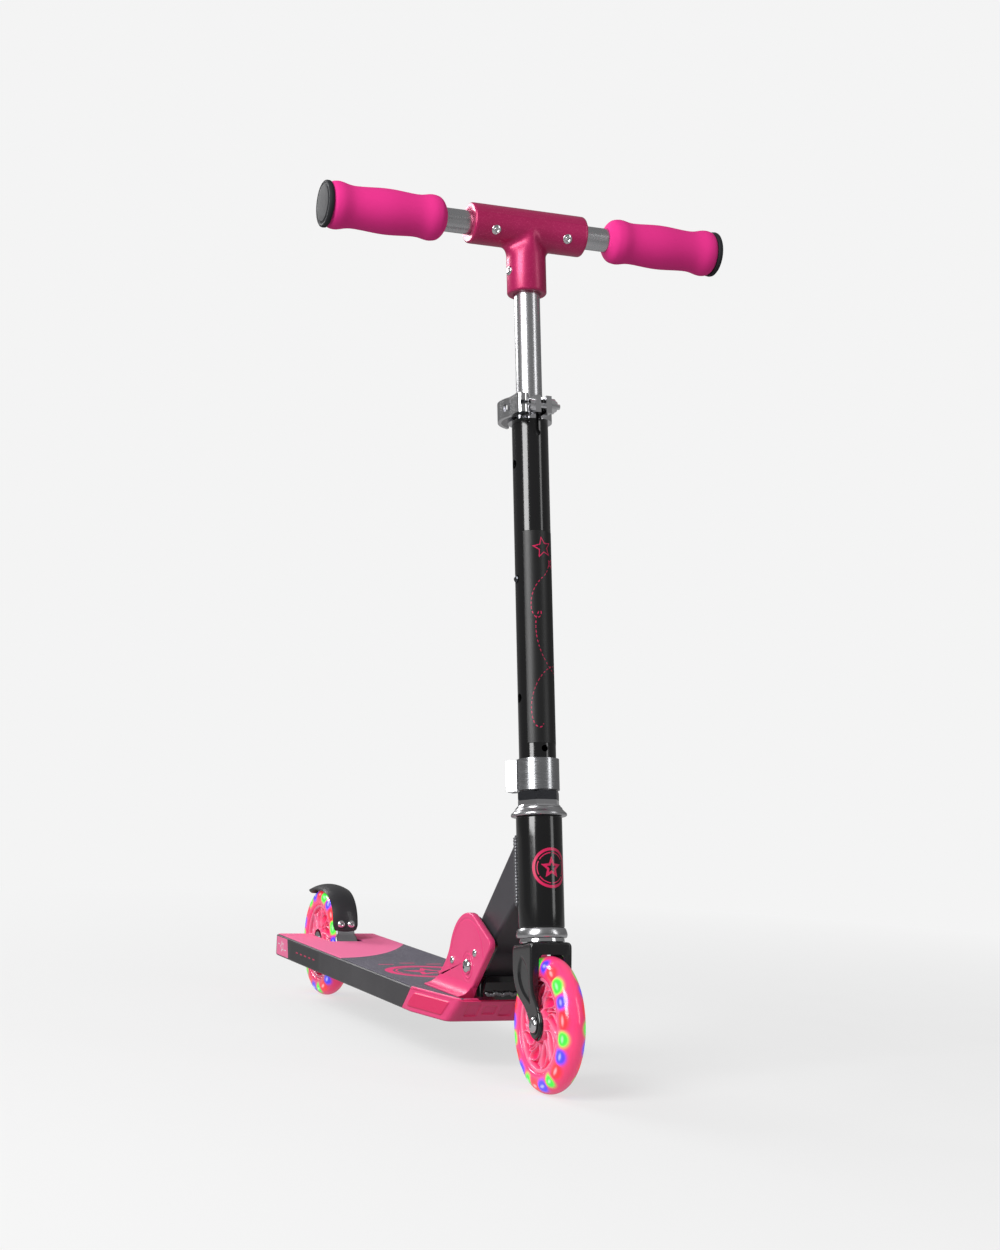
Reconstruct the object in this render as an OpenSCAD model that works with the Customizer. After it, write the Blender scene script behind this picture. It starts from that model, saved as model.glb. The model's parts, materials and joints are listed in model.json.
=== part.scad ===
// Folding kick scooter for a child: aluminium deck, steel fork, telescopic T-bar and light-up wheels.
// Millimetres. +Z is up, +Y points to the rear, +X is the rider's left.
// The origin lies on the ground, midway between the two axles.

/* [Wheels] */
// Distance between the two axles
wheelbase = 631; // [625:1:640]
// Outside diameter of a tyre
wheel_d = 120; // [118:1:121]
// Width of a tyre
wheel_w = 23.7; // [23:0.1:24]
// Outside diameter of a wheel's core, where the tyre starts
core_d = 84; // [80:1:88]
// Ribs that swirl across each face of a core
core_ribs = 9; // [6:1:12]

/* [Column] */
// Backward lean of the steering axis, in degrees
rake = 9.6; // [9.4:0.1:9.8]
// Distance of the front axle ahead of the steering axis
fork_offset = 12; // [11.5:0.1:12.5]
// Outside diameter of the head tube
head_tube_d = 41.4; // [41:0.1:42]
// Outside diameter of the outer column tube
column_d = 33.5; // [33:0.1:34]
// Outside diameter of the telescopic inner tube
inner_tube_d = 24.1; // [23.8:0.1:24.4]
// Height of the handlebar's axis along the column, above the column's foot
bar_s = 736.8; // [732:0.2:742]

/* [Handlebar] */
// Handlebar length over its end caps
bar_length = 399; // [391:2:407]
// Outside diameter of the crossbar
crossbar_d = 22.2; // [22:0.1:22.4]
// Diameter of a grip at its waist
grip_d = 41.5; // [39:0.5:43]
// Length of one grip
grip_length = 112; // [104:1:114]

/* [Deck] */
// Height of the standing surface above the ground
deck_top = 68.2; // [68:0.1:68.4]
// Deck width
deck_w = 115.8; // [112:0.2:120]
// Height of the deck's side
deck_side = 24.3; // [24:0.1:25]
// Width of the front bumper at its nose
nose_w = 84; // [80:1:90]

/* [Hidden] */
$fn = 64;
fine = 96;
eps = 1;                       // extra length of a cutter past the face it opens

// Places. Lengths called "back" run rearwards from the front axle.
front_y = -wheelbase / 2;
axle_z = wheel_d / 2;
foot_y = front_y + fork_offset * cos(rake);
foot_z = axle_z - fork_offset * sin(rake);
pivot_back = 123;              // fold hinge
pivot_z = 96;
joint_back = 195.6;            // top edge of the joint between bumper and deck
nose_back = 105.7;             // top front edge of the bumper
deck_end_back = wheelbase + 6.5;
slot_back = 560;               // front end of the slot for the rear wheel
bend_back = slot_back + 0.6;   // bend of the brake's spring plate

// Deck
tape_t = 0.8;
deck_metal_top = deck_top - tape_t;
deck_bottom = deck_top - deck_side;
wall = 3;
web_in = 19.5;
web_out = 22.5;
plate_in = 21;                 // hinge side plates
plate_out = 24.5;
cover_out = 30.5;
foot_out = 40;                 // the covers' feet on the deck
foot_nose = 111;
foot_front = 118;
foot_rear = 210;
fender_half = 16.4;
plate_t = 2;                   // spring plate, riveted under the deck's top wall
plate_top = deck_metal_top - wall;
base_top = 70.2;               // top of the hinge's base plate
base_front = 104;
base_rear = 207;
m8 = 4;
m5 = 2.5;
m4 = 2;
bolt_fit = 0.05;               // radial running clearance on a bolt
gap = 0.3;
rear_head_r = 4.3;             // the rear axle's ends fit inside the deck's hollow sides

// Column heights, measured along the steering axis from the column's foot
crown_under = 66;
crown_top = 71.6;
lower_cup_s = 75.9;
head_s0 = 84.4;
head_s1 = 184.1;
upper_cup_top = 191.8;
cone_s = 192.2;
lock_nut_s = 198.2;
lock_nut_top = 206.6;
sleeve_s0 = 207.5;
sleeve_s1 = 235.6;
nut_flats = 34.8;
steerer_top = 240;
bottom_hole_s = 244;
holes_s = [291.1, 401, 508.3];
slit_s = 535.9;
clamp_s0 = 548.4;
clamp_s1 = 568.5;
tee_s0 = 673;
inner_bottom_s = 385;
steerer_r = 14.3;
column_bore = 14.4;

// Handlebar
tee_half = 57;
tee_r = 19;
tee_stem_r = 18.5;
bar_half = bar_length / 2;
grip_x1 = bar_half - 5;
grip_x0 = grip_x1 - grip_length;
tube_wall = 1.5;

// Quick-release lever of the column clamp
lever_pin = [-19, -27];
lever_z0 = 549.6;
lever_z1 = 567.4;
lever_ring = [26.4, 29.8];

// Wheels
hub_r = 14;
bearing_r = 11;
bearing_w = 7;
hub_half = 11.9;
leg_in = 12.4;
leg_t = 2.5;
leg_top = 20;

// ---------- helpers ----------
function arc(c, r, a0, a1, n = 12) =
    [for (i = [0:n]) let (a = a0 + (a1 - a0) * i / n) c + r * [cos(a), sin(a)]];
function bezier(p, n = 14) =
    [for (i = [0:n]) let (t = i / n, u = 1 - t)
        u*u*u*p[0] + 3*u*u*t*p[1] + 3*u*t*t*p[2] + t*t*t*p[3]];
function back(points) = [for (p = points) [p[0] + front_y, p[1]]];

// Extrusions of a drawing along X (drawn in Y, Z) and along Y (drawn in X, Z)
module along_x(x0, x1) translate([x0, 0, 0]) rotate([90, 0, 90]) linear_extrude(x1 - x0) children();
module along_y(y0, y1) translate([0, y1, 0]) rotate([90, 0, 0]) linear_extrude(y1 - y0) children();
module on_column() translate([0, foot_y, foot_z]) rotate([-rake, 0, 0]) children();
module at_back(b, z) translate([0, front_y + b, z]) children();

// A round bar along X
module bar_x(x0, x1, r) translate([x0, 0, 0]) rotate([0, 90, 0]) cylinder(r = r, h = x1 - x0);
module ring_x(x0, x1, r_in, r_out) difference() {
    bar_x(x0, x1, r_out);
    bar_x(x0 - eps, x1 + eps, r_in);
}
module ring(s0, s1, r_in, r_out) difference() {
    translate([0, 0, s0]) cylinder(r = r_out, h = s1 - s0);
    translate([0, 0, s0 - eps]) cylinder(r = r_in, h = s1 - s0 + 2 * eps);
}
module hex(s0, s1, across_flats) translate([0, 0, s0])
    cylinder(d = across_flats / cos(30), h = s1 - s0, $fn = 6);
// A button head of radius r and height h on the plane z = 0, with a hexagonal socket
module button_head(r, h, socket) difference() {
    rotate_extrude() polygon(concat([[0, 0], [r, 0]],
        [for (i = [0:8]) let (a = i * 10) [r * cos(a) * 0.98, 0.15 * h + 0.85 * h * sin(a)]], [[0, h]]));
    translate([0, 0, h * 0.4]) cylinder(d = socket, h = h, $fn = 6);
}

// ---------- deck ----------
module deck_extrusion() color("dimgray") difference() {
    intersection() {
        along_y(front_y + joint_back - eps, front_y + deck_end_back) deck_section();
        along_x(-deck_w, deck_w) polygon(back([
            [joint_back + tape_t, deck_metal_top], [deck_end_back, deck_metal_top],
            [deck_end_back, deck_bottom], [joint_back + deck_side, deck_bottom]]));
    }
    translate([-web_in, front_y + slot_back, deck_bottom - eps]) cube([2 * web_in, 200, 40]);
    at_back(wheelbase, axle_z) bar_x(-web_out - eps, web_out + eps, m8);
    rivet_places() cylinder(r = m4, h = 20);
}
rivet_head = 1.2;
module rivet_places() for (side = [-1, 1])
    at_back(bend_back - 13, plate_top - plate_t - rivet_head) translate([side * 7, 0, 0]) children();
module deck_section() {
    half = deck_w / 2;
    chamfer = 1.6;
    top = deck_metal_top;
    difference() {
        polygon([[-half, deck_bottom + chamfer], [-half + chamfer, deck_bottom],
            [half - chamfer, deck_bottom], [half, deck_bottom + chamfer],
            [half, top - 1], [half - 1, top], [-half + 1, top], [-half, top - 1]]);
        for (side = [-1, 1]) translate([side * (web_out + half - wall) / 2, (deck_bottom + top) / 2])
            square([half - wall - web_out, deck_side - tape_t - 2 * wall], center = true);
        translate([-web_in, deck_bottom - eps]) square([2 * web_in, top - wall - deck_bottom + eps]);
    }
}
tape_edge = 1.8;               // bare rim round the tape
module griptape() color("hotpink") translate([0, 0, deck_metal_top]) linear_extrude(tape_t) tape_outline(0);
module tape_outline(grow) difference() {
    half = deck_w / 2 - tape_edge + grow;
    nose = nose_w / 2 - tape_edge + grow;
    polygon([for (p = [[-half, deck_end_back - 1], [-half, joint_back], [-nose, nose_back + tape_edge - grow],
        [nose, nose_back + tape_edge - grow], [half, joint_back], [half, deck_end_back - 1]])
        [p[0], p[1] + front_y]]);
    tape_gap(cover_out + 0.5 - grow, base_front - 20, base_rear);
    tape_gap(foot_out + 0.2 - grow, foot_nose - 0.2 + grow, foot_rear + 0.2 - grow);
    tape_gap(web_in + 0.5, slot_back - 0.2, wheelbase + 50);
}
module tape_gap(half, b0, b1) translate([-half, front_y + b0]) square([2 * half, b1 - b0]);
module front_bumper() color("deeppink") difference() {
    bumper_block(deck_w / 2, nose_w / 2, 0, 0);
    bumper_block(deck_w / 2 - wall, nose_w / 2 - wall, wall, wall);
    translate([0, 0, deck_metal_top]) linear_extrude(10) {
        tape_outline(0.1);
        tape_gap(foot_out + 0.3, foot_nose - 0.3, foot_rear + 0.3);
    }
    translate([-plate_out - 0.1, front_y + base_front - 0.1, deck_metal_top - 4])
        cube([2 * plate_out + 0.2, 120, 10]);
}
// The bumper's outline: a tapered nose whose joint and front both slope 45 degrees
module bumper_block(half_rear, half_nose, inset, lid) intersection() {
    slope = deck_side;
    translate([0, 0, deck_bottom - (lid > 0 ? eps : 0)])
        linear_extrude(deck_side - lid + (lid > 0 ? eps : 0)) polygon([
            for (p = [[-half_rear, joint_back + slope + eps], [-half_rear, joint_back],
                [-half_nose, nose_back], [half_nose, nose_back], [half_rear, joint_back],
                [half_rear, joint_back + slope + eps]]) [p[0], p[1] + front_y]]);
    along_x(-80, 80) polygon(back([
        [nose_back + inset * 1.6, deck_top], [joint_back + (lid > 0 ? 3 : 0), deck_top],
        [joint_back + slope + (lid > 0 ? 3 : 0), deck_bottom - (lid > 0 ? eps : 0)],
        [nose_back + slope + inset * 1.6, deck_bottom - (lid > 0 ? eps : 0)]]));
}

// The hinge cover's side outline: a round top, a straight brow, a 45 degree front edge and a flared tail
function cover_outline(inset) =
    let (r = 47 - inset, c = [125, 98], nose = [79, 120.5], nr = 7 - inset)
    concat(
        bezier([[198 - inset * 1.5, 79.3], [186, 88.5 - inset], [175 - inset, 98],
            c + r * [cos(16), sin(16)]], 8),
        arc(c, r, 20, 100, 14),
        arc(nose, nr, 118, 225, 6),
        [[111 + inset, 79.3]]);
cover_screw_at = [[161, 97], [105.6, 110]];
module hinge_cover(side) difference() {
    union() {
        along_x(side > 0 ? 22 : -cover_out, side > 0 ? cover_out : -22)
            polygon(back(cover_outline(0)));
        hull() {
            at_back(foot_nose, 79.2) translate([side > 0 ? 22 : -cover_out, 0, 0])
                cube([cover_out - 22, 86.5, 0.1]);
            at_back(foot_front, deck_metal_top) translate([side > 0 ? 22 : -foot_out, 0, 0])
                cube([foot_out - 22, foot_rear - foot_front, 2.3]);
        }
    }
    along_x(side > 0 ? 22 - eps : -plate_out - 0.1, side > 0 ? plate_out + 0.1 : -22 + eps)
        polygon(back(concat(cover_outline(2.6), [[113, 60], [198, 60]])));
    translate([side * plate_out - 3, front_y + base_front, deck_metal_top - eps])
        cube([6, base_rear - base_front + 0.2, base_top - deck_metal_top + eps + 0.1]);
    at_back(pivot_back, pivot_z) bar_x(side * 30 - 10, side * 30 + 10, m8 + 0.1);
    for (p = cover_screw_at) at_back(p[0], p[1]) bar_x(side * 30 - 10, side * 30 + 10, m4 + 0.1);
}
module hinge_cover_right() color("deeppink") hinge_cover(-1);
module hinge_cover_left() color("deeppink") hinge_cover(1);
module hinge_bracket() color([0.08, 0.08, 0.09]) difference() {
    union() {
        translate([-plate_out, front_y + base_front, deck_metal_top])
            cube([2 * plate_out, base_rear - base_front, base_top - deck_metal_top]);
        for (side = [-1, 1]) along_x(side > 0 ? plate_in : -plate_out, side > 0 ? plate_out : -plate_in)
            polygon(back(concat(cover_outline(3), [[112, base_top - 0.5], [197, base_top - 0.5]])));
        // inner nose frame, hidden by the bumper and welded to the deck's front
        difference() {
            along_x(-plate_out, plate_out) polygon(back([[129.5, 50], [112.1, deck_metal_top],
                [joint_back + tape_t, deck_metal_top], [joint_back + deck_top - 50, 50]]));
            along_x(-plate_out + wall, plate_out - wall) polygon(back([[133.7, 50 - eps], [118, 64.5],
                [196, 64.5], [joint_back + deck_top - 53, 50 - eps]]));
        }
        // front block: its rear top edge is the stop that the unfolded neck rests against
        along_x(-plate_in, plate_in) polygon(back([[base_front, base_top - 0.5], [base_front, 74],
            [99, 84], [100.5, 89.2], [109.7, 89.2], [111.5, 80], [112, base_top - 0.5]]));
    }
    at_back(pivot_back, pivot_z) bar_x(-40, 40, m8);
    for (side = [-1, 1], p = cover_screw_at)
        at_back(p[0], p[1]) bar_x(side * 22 - 3, side * 22 + 3, m4);
}
module cover_screws() color("silver")
    for (side = [-1, 1], p = cover_screw_at) at_back(p[0], p[1])
        translate([side * cover_out, 0, 0]) rotate([0, side * 90, 0]) {
            button_head(3.8, 2.2, 2.5);
            translate([0, 0, plate_in - cover_out]) cylinder(r = m4, h = cover_out - plate_in);
        }
module fold_bolt() color("silver") at_back(pivot_back, pivot_z) {
    bar_x(-cover_out, cover_out + 0.5, m8);
    bar_x(cover_out, lever_x + 2.9, stud_r);
    translate([-cover_out, 0, 0]) rotate([0, -90, 0]) button_head(7, 4, 5);
}
module rear_end_plugs() color([0.1, 0.1, 0.1]) for (side = [-1, 1]) {
    half = deck_w / 2;
    w = half - wall - web_out;
    difference() {
        at_back(deck_end_back - 14, deck_bottom + wall)
            translate([side * (web_out + half - wall) / 2 - w / 2, 0, 0])
                cube([w, 14, deck_side - tape_t - 2 * wall]);
        at_back(deck_end_back - 15, deck_bottom)
            translate([side * (web_out + 3) - 4, 0, 0]) cube([8, 13, 30]);
    }
}
module rear_axle_bolt() color("silver") at_back(wheelbase, axle_z) {
    bar_x(-web_out, web_out, m8);
    bar_x(web_out, web_out + 5, m5);
    translate([-web_out, 0, 0]) rotate([0, -90, 0]) button_head(rear_head_r, 4, 3);
}
module rear_axle_nut() color("silver") at_back(wheelbase, axle_z)
    ring_x(web_out, web_out + 5, m5, rear_head_r);
module rear_axle_spacers() color("gray") at_back(wheelbase, axle_z) {
    for (side = [-1, 1])
        ring_x(side > 0 ? hub_half + 0.1 : -web_in, side > 0 ? web_in : -hub_half - 0.1, m8, 5.6);
    ring_x(bearing_w - hub_half + 0.1, hub_half - bearing_w - 0.1, m8, 6.6);
}
module brake_rivets() color("silver") rivet_places() {
    cylinder(r1 = 2.6, r2 = 3.6, h = rivet_head);
    cylinder(r = m4, h = rivet_head + plate_t + wall);
}

// ---------- fold lever ----------
lever_x = 40;                  // middle of the cam on the fold bolt
stud_r = 2.4;                  // the fold bolt's end, screwed into the barrel pin
module fold_lever() color("silver") at_back(pivot_back, pivot_z) translate([lever_x, 0, 0]) difference() {
    union() {
        translate([0, 0, -7]) cylinder(r = 8.6, h = 14);
        translate([0, 0, -6.5]) linear_extrude(13) polygon([[0, -4], [8, 2], [6, 30], [-1, 58],
            [-6, 76], [-9, 76], [-6, 56], [-2, 28], [-3, 6]]);
    }
    translate([0, 0, -8]) cylinder(r = m8 + bolt_fit, h = 16);
    swing_slot(180, 285, stud_r + gap, 20);
}
// Room in a lever, round its pin, for a bolt of half width h that swings from angle a0 to a1
module swing_slot(a0, a1, h, reach) translate([0, 0, -h]) linear_extrude(2 * h) {
    polygon(concat([[0, 0]], arc([0, 0], reach, a0, a1, 10)));
    for (a = [a0, a1]) rotate(a) translate([0, -h]) square([reach, 2 * h]);
}
module fold_lever_pin() color("gray") at_back(pivot_back, pivot_z) difference() {
    translate([lever_x, 0, -7.5]) cylinder(r = m8, h = 15);
    bar_x(lever_x - 8, lever_x + 3, stud_r);
}

// ---------- neck and head tube ----------
neck_half = 20;
neck_foot_r = 14.5;            // round foot that turns past the stop
function neck_outline() = concat(
    [[40, 226.5], [126, 136]],
    arc([pivot_back, pivot_z], neck_foot_r, 10, -150, 14),
    [[105, 108], [36, 166.5]]);
module neck() color([0.05, 0.05, 0.06]) difference() {
    union() {
        difference() {
            along_x(-neck_half, neck_half) polygon(back(neck_outline()));
            along_x(-neck_half + wall, neck_half - wall) polygon(back([[43, 218], [118, 139], [127, 116],
                [110, 108.5], [43, 165]]));
        }
        at_back(pivot_back, pivot_z) bar_x(-neck_half, neck_half, 11);
    }
    on_column() translate([0, 0, 60]) cylinder(r = head_tube_d / 2, h = 200, $fn = fine);
    at_back(pivot_back, pivot_z) bar_x(-neck_half - eps, neck_half + eps, 6);
}
module head_tube() color([0.05, 0.05, 0.06])
    on_column() ring(head_s0, head_s1, 17, head_tube_d / 2, $fn = fine);
module pivot_bushes() color("white") at_back(pivot_back, pivot_z) for (side = [-1, 1]) difference() {
    union() {
        bar_x(side > 0 ? 4 : -neck_half, side > 0 ? neck_half : -4, 6);
        bar_x(side > 0 ? neck_half : -plate_in + 0.1, side > 0 ? plate_in - 0.1 : -neck_half, 10);
    }
    bar_x(-30, 30, m8 + bolt_fit);
}
module headset_cup_upper() color("silver") on_column() rotate_extrude($fn = fine) polygon(concat(
    [[15.2, head_s1 - 8], [17, head_s1 - 8], [17, head_s1], [24.4, head_s1]],
    bezier([[25.1, head_s1 + 0.5], [26.2, head_s1 + 3.6], [21.8, head_s1 + 3.8], [20.9, upper_cup_top]], 10),
    [[20, upper_cup_top], [20, head_s1 + 1.9], [15.2, head_s1 + 1.9]]));
module headset_cup_lower() color("silver") on_column() rotate_extrude($fn = fine) polygon(concat(
    [[15.2, head_s0 + 8], [15.2, lower_cup_s + 5.8], [20, lower_cup_s + 5.8], [20, lower_cup_s],
     [21.8, lower_cup_s]],
    bezier([[22.4, lower_cup_s + 0.4], [23.4, lower_cup_s + 2], [23.2, lower_cup_s + 4],
        [22, lower_cup_s + 7]], 8),
    [[21.2, head_s0], [17, head_s0], [17, head_s0 + 8]]));

// ---------- fork and column ----------
// The leg's side outline, drawn in (y, s): wide at the crown, swept forward to a round end at the axle
function leg_outline() =
    let (axle = [-fork_offset, 0])
    concat(
        [[21.5, crown_top], [22.6, 46], [15.5, 31], [6, 18], [1.5, 11]],
        arc(axle, 12, 40, -220, 20),
        [[-19.6, 16], [-19.2, 30], [-19.8, 42], [-21.5, crown_top]]);
// The crown and legs seen from the front: an arch with round shoulders and a joggle above the axle
function leg_profile(shift) =
    let (low = leg_in + leg_t - shift, up = leg_top - shift, top = crown_top - shift * 1.9,
        r = 7 - shift * 0.6)
    concat(
        [[low, -20], [low, 15], [up - 1, 25], [up, 30]],
        arc([up - r, top - r], r, 0, 90, 8));
function mirrored(points) = [for (i = [len(points) - 1:-1:0]) [-points[i][0], points[i][1]]];
module fork() color([0.05, 0.05, 0.06]) on_column() difference() {
    intersection() {
        along_x(-30, 30) polygon(leg_outline());
        along_y(-40, 40) difference() {
            polygon(concat(leg_profile(0), mirrored(leg_profile(0))));
            translate([0, -0.01]) polygon(concat(leg_profile(leg_t), mirrored(leg_profile(leg_t))));
        }
    }
    for (side = [-1, 1])
        along_x(side > 0 ? leg_top - 0.8 : -leg_top - eps, side > 0 ? leg_top + eps : -leg_top + 0.8)
            polygon(concat(arc([1.5, 52], 12, -10, 190, 16), [[-8.5, 28], [-4, 26]]));
    translate([0, 0, 40]) cylinder(r = steerer_r, h = 60);
    translate([0, -fork_offset, 0]) bar_x(-30, 30, m8);
}
module steerer_tube() color("gray") on_column() ring(crown_under, steerer_top, 11.8, steerer_r);
module crown_race() color("silver") on_column() rotate_extrude() polygon([[steerer_r, crown_top],
    [19.5, crown_top], [20.5, crown_top + 1], [20, lower_cup_s - 0.4], [17.5, lower_cup_s - 0.4],
    [17.5, lower_cup_s + 0.4], [steerer_r, lower_cup_s + 0.4]]);
module headset_bearings() color("silver") on_column() {
    ring(lower_cup_s + 0.6, lower_cup_s + 5.4, steerer_r, 20 - bolt_fit, $fn = fine);
    ring(head_s1 + 2.2, upper_cup_top - 0.6, steerer_r, 20 - bolt_fit, $fn = fine);
}
module adjusting_nut() color("silver") on_column() difference() {
    union() {
        translate([0, 0, cone_s]) cylinder(r1 = 20.2, r2 = 19, h = 1.8);
        hex(cone_s + 1.8, lock_nut_s, nut_flats);
    }
    translate([0, 0, cone_s - eps]) cylinder(r = steerer_r, h = 12);
}
module lock_nut() color([0.3, 0.3, 0.32]) on_column() difference() {
    intersection() {
        hex(lock_nut_s, lock_nut_top, nut_flats);
        rotate_extrude($fn = fine) polygon([[0, lock_nut_s], [18.8, lock_nut_s], [20.2, lock_nut_s + 1.2],
            [20.2, lock_nut_top - 1.4], [18, lock_nut_top], [0, lock_nut_top]]);
    }
    translate([0, 0, lock_nut_s - eps]) cylinder(r = steerer_r, h = 12);
}
module column_tube() color([0.05, 0.05, 0.06]) on_column() difference() {
    ring(sleeve_s0, clamp_s1, column_bore, column_d / 2, $fn = fine);
    for (s = holes_s) translate([0, 0, s]) bar_x(-30, 0, 4.2);
    translate([0, 0, bottom_hole_s]) rotate([90, 0, 0]) cylinder(r = 3, h = 30);
    translate([0, 0, slit_s]) rotate([90, 0, 0]) cylinder(r = 3.2, h = 30);
    translate([-1.6, -30, slit_s]) cube([3.2, 30, 60]);
    rotate([0, 0, 225]) translate([0, -1.2, sleeve_s0 - eps]) cube([30, 2.4, 20]);
}
module column_clamp() color("silver") on_column() difference() {
    union() {
        translate([0, 0, sleeve_s0]) cylinder(r = 19.3, h = sleeve_s1 - sleeve_s0, $fn = fine);
        rotate([0, 0, 135]) translate([12, -8, sleeve_s0]) cube([16, 16, sleeve_s1 - sleeve_s0]);
    }
    translate([0, 0, sleeve_s0 - eps]) cylinder(r = column_d / 2, h = 40, $fn = fine);
    rotate([0, 0, 135]) {
        translate([10, -1.2, sleeve_s0 - eps]) cube([30, 2.4, 40]);
        for (s = clamp_bolts_s) translate([23.5, 20, s]) rotate([90, 0, 0]) cylinder(r = m5, h = 40);
    }
}
clamp_bolts_s = [sleeve_s0 + 7.5, sleeve_s1 - 7.5];
module column_clamp_bolts() color("gray") on_column() rotate([0, 0, 135])
    for (s = clamp_bolts_s) translate([23.5, -8, s]) rotate([90, 0, 0]) {
        button_head(4.4, 3, 3);
        translate([0, 0, -16]) cylinder(r = m5, h = 16);
    }
module guide_bush() color("white") on_column()
    ring(528, clamp_s1, inner_tube_d / 2 + bolt_fit, column_bore, $fn = fine);

// ---------- column clamp with its quick-release lever ----------
ear_x = [2.6, 8];
module quick_release_collar() color("silver") on_column() difference() {
    union() {
        translate([0, 0, clamp_s0]) cylinder(r = 20.4, h = clamp_s1 - clamp_s0, $fn = fine);
        for (side = [-1, 1]) translate([side > 0 ? ear_x[0] : -ear_x[1], -33, clamp_s0 + 2])
            cube([ear_x[1] - ear_x[0], 18, clamp_s1 - clamp_s0 - 4]);
    }
    translate([0, 0, clamp_s0 - eps]) cylinder(r = column_d / 2, h = 40, $fn = fine);
    translate([-ear_x[0], -40, clamp_s0 - eps]) cube([2 * ear_x[0], 40, 40]);
    translate([0, lever_pin[1], lever_mid]) bar_x(-10, 10, m5);
}
lever_mid = (lever_z0 + lever_z1) / 2;
module clamp_bolt() color("silver") on_column() translate([0, lever_pin[1], lever_mid]) union() {
    bar_x(-12.3, 18, m5);
    bar_x(lever_pin[0] - 1.7, -12, clamp_stud_r);
    bar_x(-12.4, -ear_x[1], 5);
}
clamp_stud_r = 1.6;            // the bolt's end, screwed into the barrel pin
module clamp_nut() color("silver") on_column() translate([0, lever_pin[1], lever_mid]) difference() {
    union() {
        bar_x(ear_x[1], 12, 7);
        bar_x(12, 14.5, 5);
    }
    bar_x(6, 16, m5);
}
clamp_pin_r = 3;
module clamp_lever() color("silver") on_column() difference() {
    union() {
        translate([lever_pin[0], lever_pin[1], lever_z0]) cylinder(r = 6.4, h = lever_z1 - lever_z0);
        translate([0, 0, lever_z0]) linear_extrude(lever_z1 - lever_z0) polygon(concat(
            arc([0, 0], lever_ring[1], 112, 208, 20), [[-25.2, -25.5], [-19, -24], [-20, -19.5]],
            arc([0, 0], lever_ring[0], 208, 114, 20)));
    }
    translate([lever_pin[0], lever_pin[1], lever_z0 - eps]) cylinder(r = clamp_pin_r + bolt_fit, h = 30);
    translate([lever_pin[0], lever_pin[1], lever_mid]) swing_slot(-110, 0, clamp_stud_r + gap, 12);
    rotate([0, 0, 203]) translate([20, -5, lever_z0 + 5.5]) cube([20, 10, lever_z1 - lever_z0 - 11]);
}
module clamp_lever_pin() color([0.15, 0.15, 0.16]) on_column() difference() {
    translate([lever_pin[0], lever_pin[1], lever_z0 - 1])
        cylinder(r = clamp_pin_r, h = lever_z1 - lever_z0 + 2);
    translate([0, lever_pin[1], lever_mid]) bar_x(lever_pin[0] - 1.8, 10, clamp_stud_r);
}

// ---------- front axle ----------
head_x = 15.6;                 // outer face of a front axle washer
module front_axle_bolt() color("silver") on_column() translate([0, -fork_offset, 0]) {
    bar_x(-head_x, head_x + 4, m8);
    translate([-head_x, 0, 0]) rotate([0, -90, 0]) button_head(7, 2.8, 5);
}
module front_axle_nut() color("silver") on_column() translate([0, -fork_offset, 0]) difference() {
    translate([head_x, 0, 0]) rotate([0, 90, 0]) hex(0, 4.6, 13);
    bar_x(head_x - eps, head_x + 6, m8);
}
module front_axle_washers() color([0.1, 0.1, 0.1]) on_column() translate([0, -fork_offset, 0])
    for (side = [-1, 1])
        ring_x(side > 0 ? leg_in + leg_t : -head_x, side > 0 ? head_x : -leg_in - leg_t, m8, 8.5);
module front_axle_spacer() color("gray") on_column() translate([0, -fork_offset, 0])
    ring_x(bearing_w - hub_half + 0.1, hub_half - bearing_w - 0.1, m8, 6.6);

// ---------- handlebar ----------
module inner_tube() color("silver") on_column() difference() {
    ring(inner_bottom_s - 15, bar_s - crossbar_d / 2 - 1, inner_tube_d / 2 - tube_wall, inner_tube_d / 2,
        $fn = fine);
    translate([0, 0, holes_s[1]]) bar_x(-20, 0, 3.9);
}
module t_sleeve() color("deeppink") on_column() difference() {
    union() {
        translate([0, 0, bar_s]) bar_x(-tee_half, tee_half, tee_r, $fn = fine);
        translate([0, 0, tee_s0]) cylinder(r = tee_stem_r, h = bar_s - tee_s0, $fn = fine);
        translate([0, 0, bar_s - tee_r - 11]) cylinder(r1 = tee_stem_r, r2 = tee_stem_r + 4, h = 14);
    }
    translate([0, 0, bar_s]) bar_x(-tee_half - eps, tee_half + eps, crossbar_d / 2, $fn = fine);
    translate([0, 0, tee_s0 - eps]) cylinder(r = inner_tube_d / 2, h = bar_s - tee_s0, $fn = fine);
    tee_screw_places() {
        translate([0, 0, -15]) cylinder(r = m5, h = 20);
        cylinder(r = 4.5, h = 6);
    }
}
// Two screws lie on the lower front of the sleeve and one on the right of its stem
module tee_screw_places() {
    for (side = [-1, 1]) translate([side * 36, 0, bar_s]) rotate([122, 0, 0])
        translate([0, 0, tee_r - 0.6]) children();
    translate([0, 0, 694]) rotate([0, -90, 0]) translate([0, 0, tee_stem_r - 0.4]) children();
}
module t_sleeve_screws() color("silver") on_column() tee_screw_places() {
    button_head(4.4, 2.2, 3);
    translate([0, 0, -6]) cylinder(r = m5, h = 6.2);
}
module crossbar() color("silver") on_column() translate([0, 0, bar_s])
    ring_x(-bar_half + 5, bar_half - 5, crossbar_d / 2 - tube_wall, crossbar_d / 2, $fn = fine);
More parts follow.
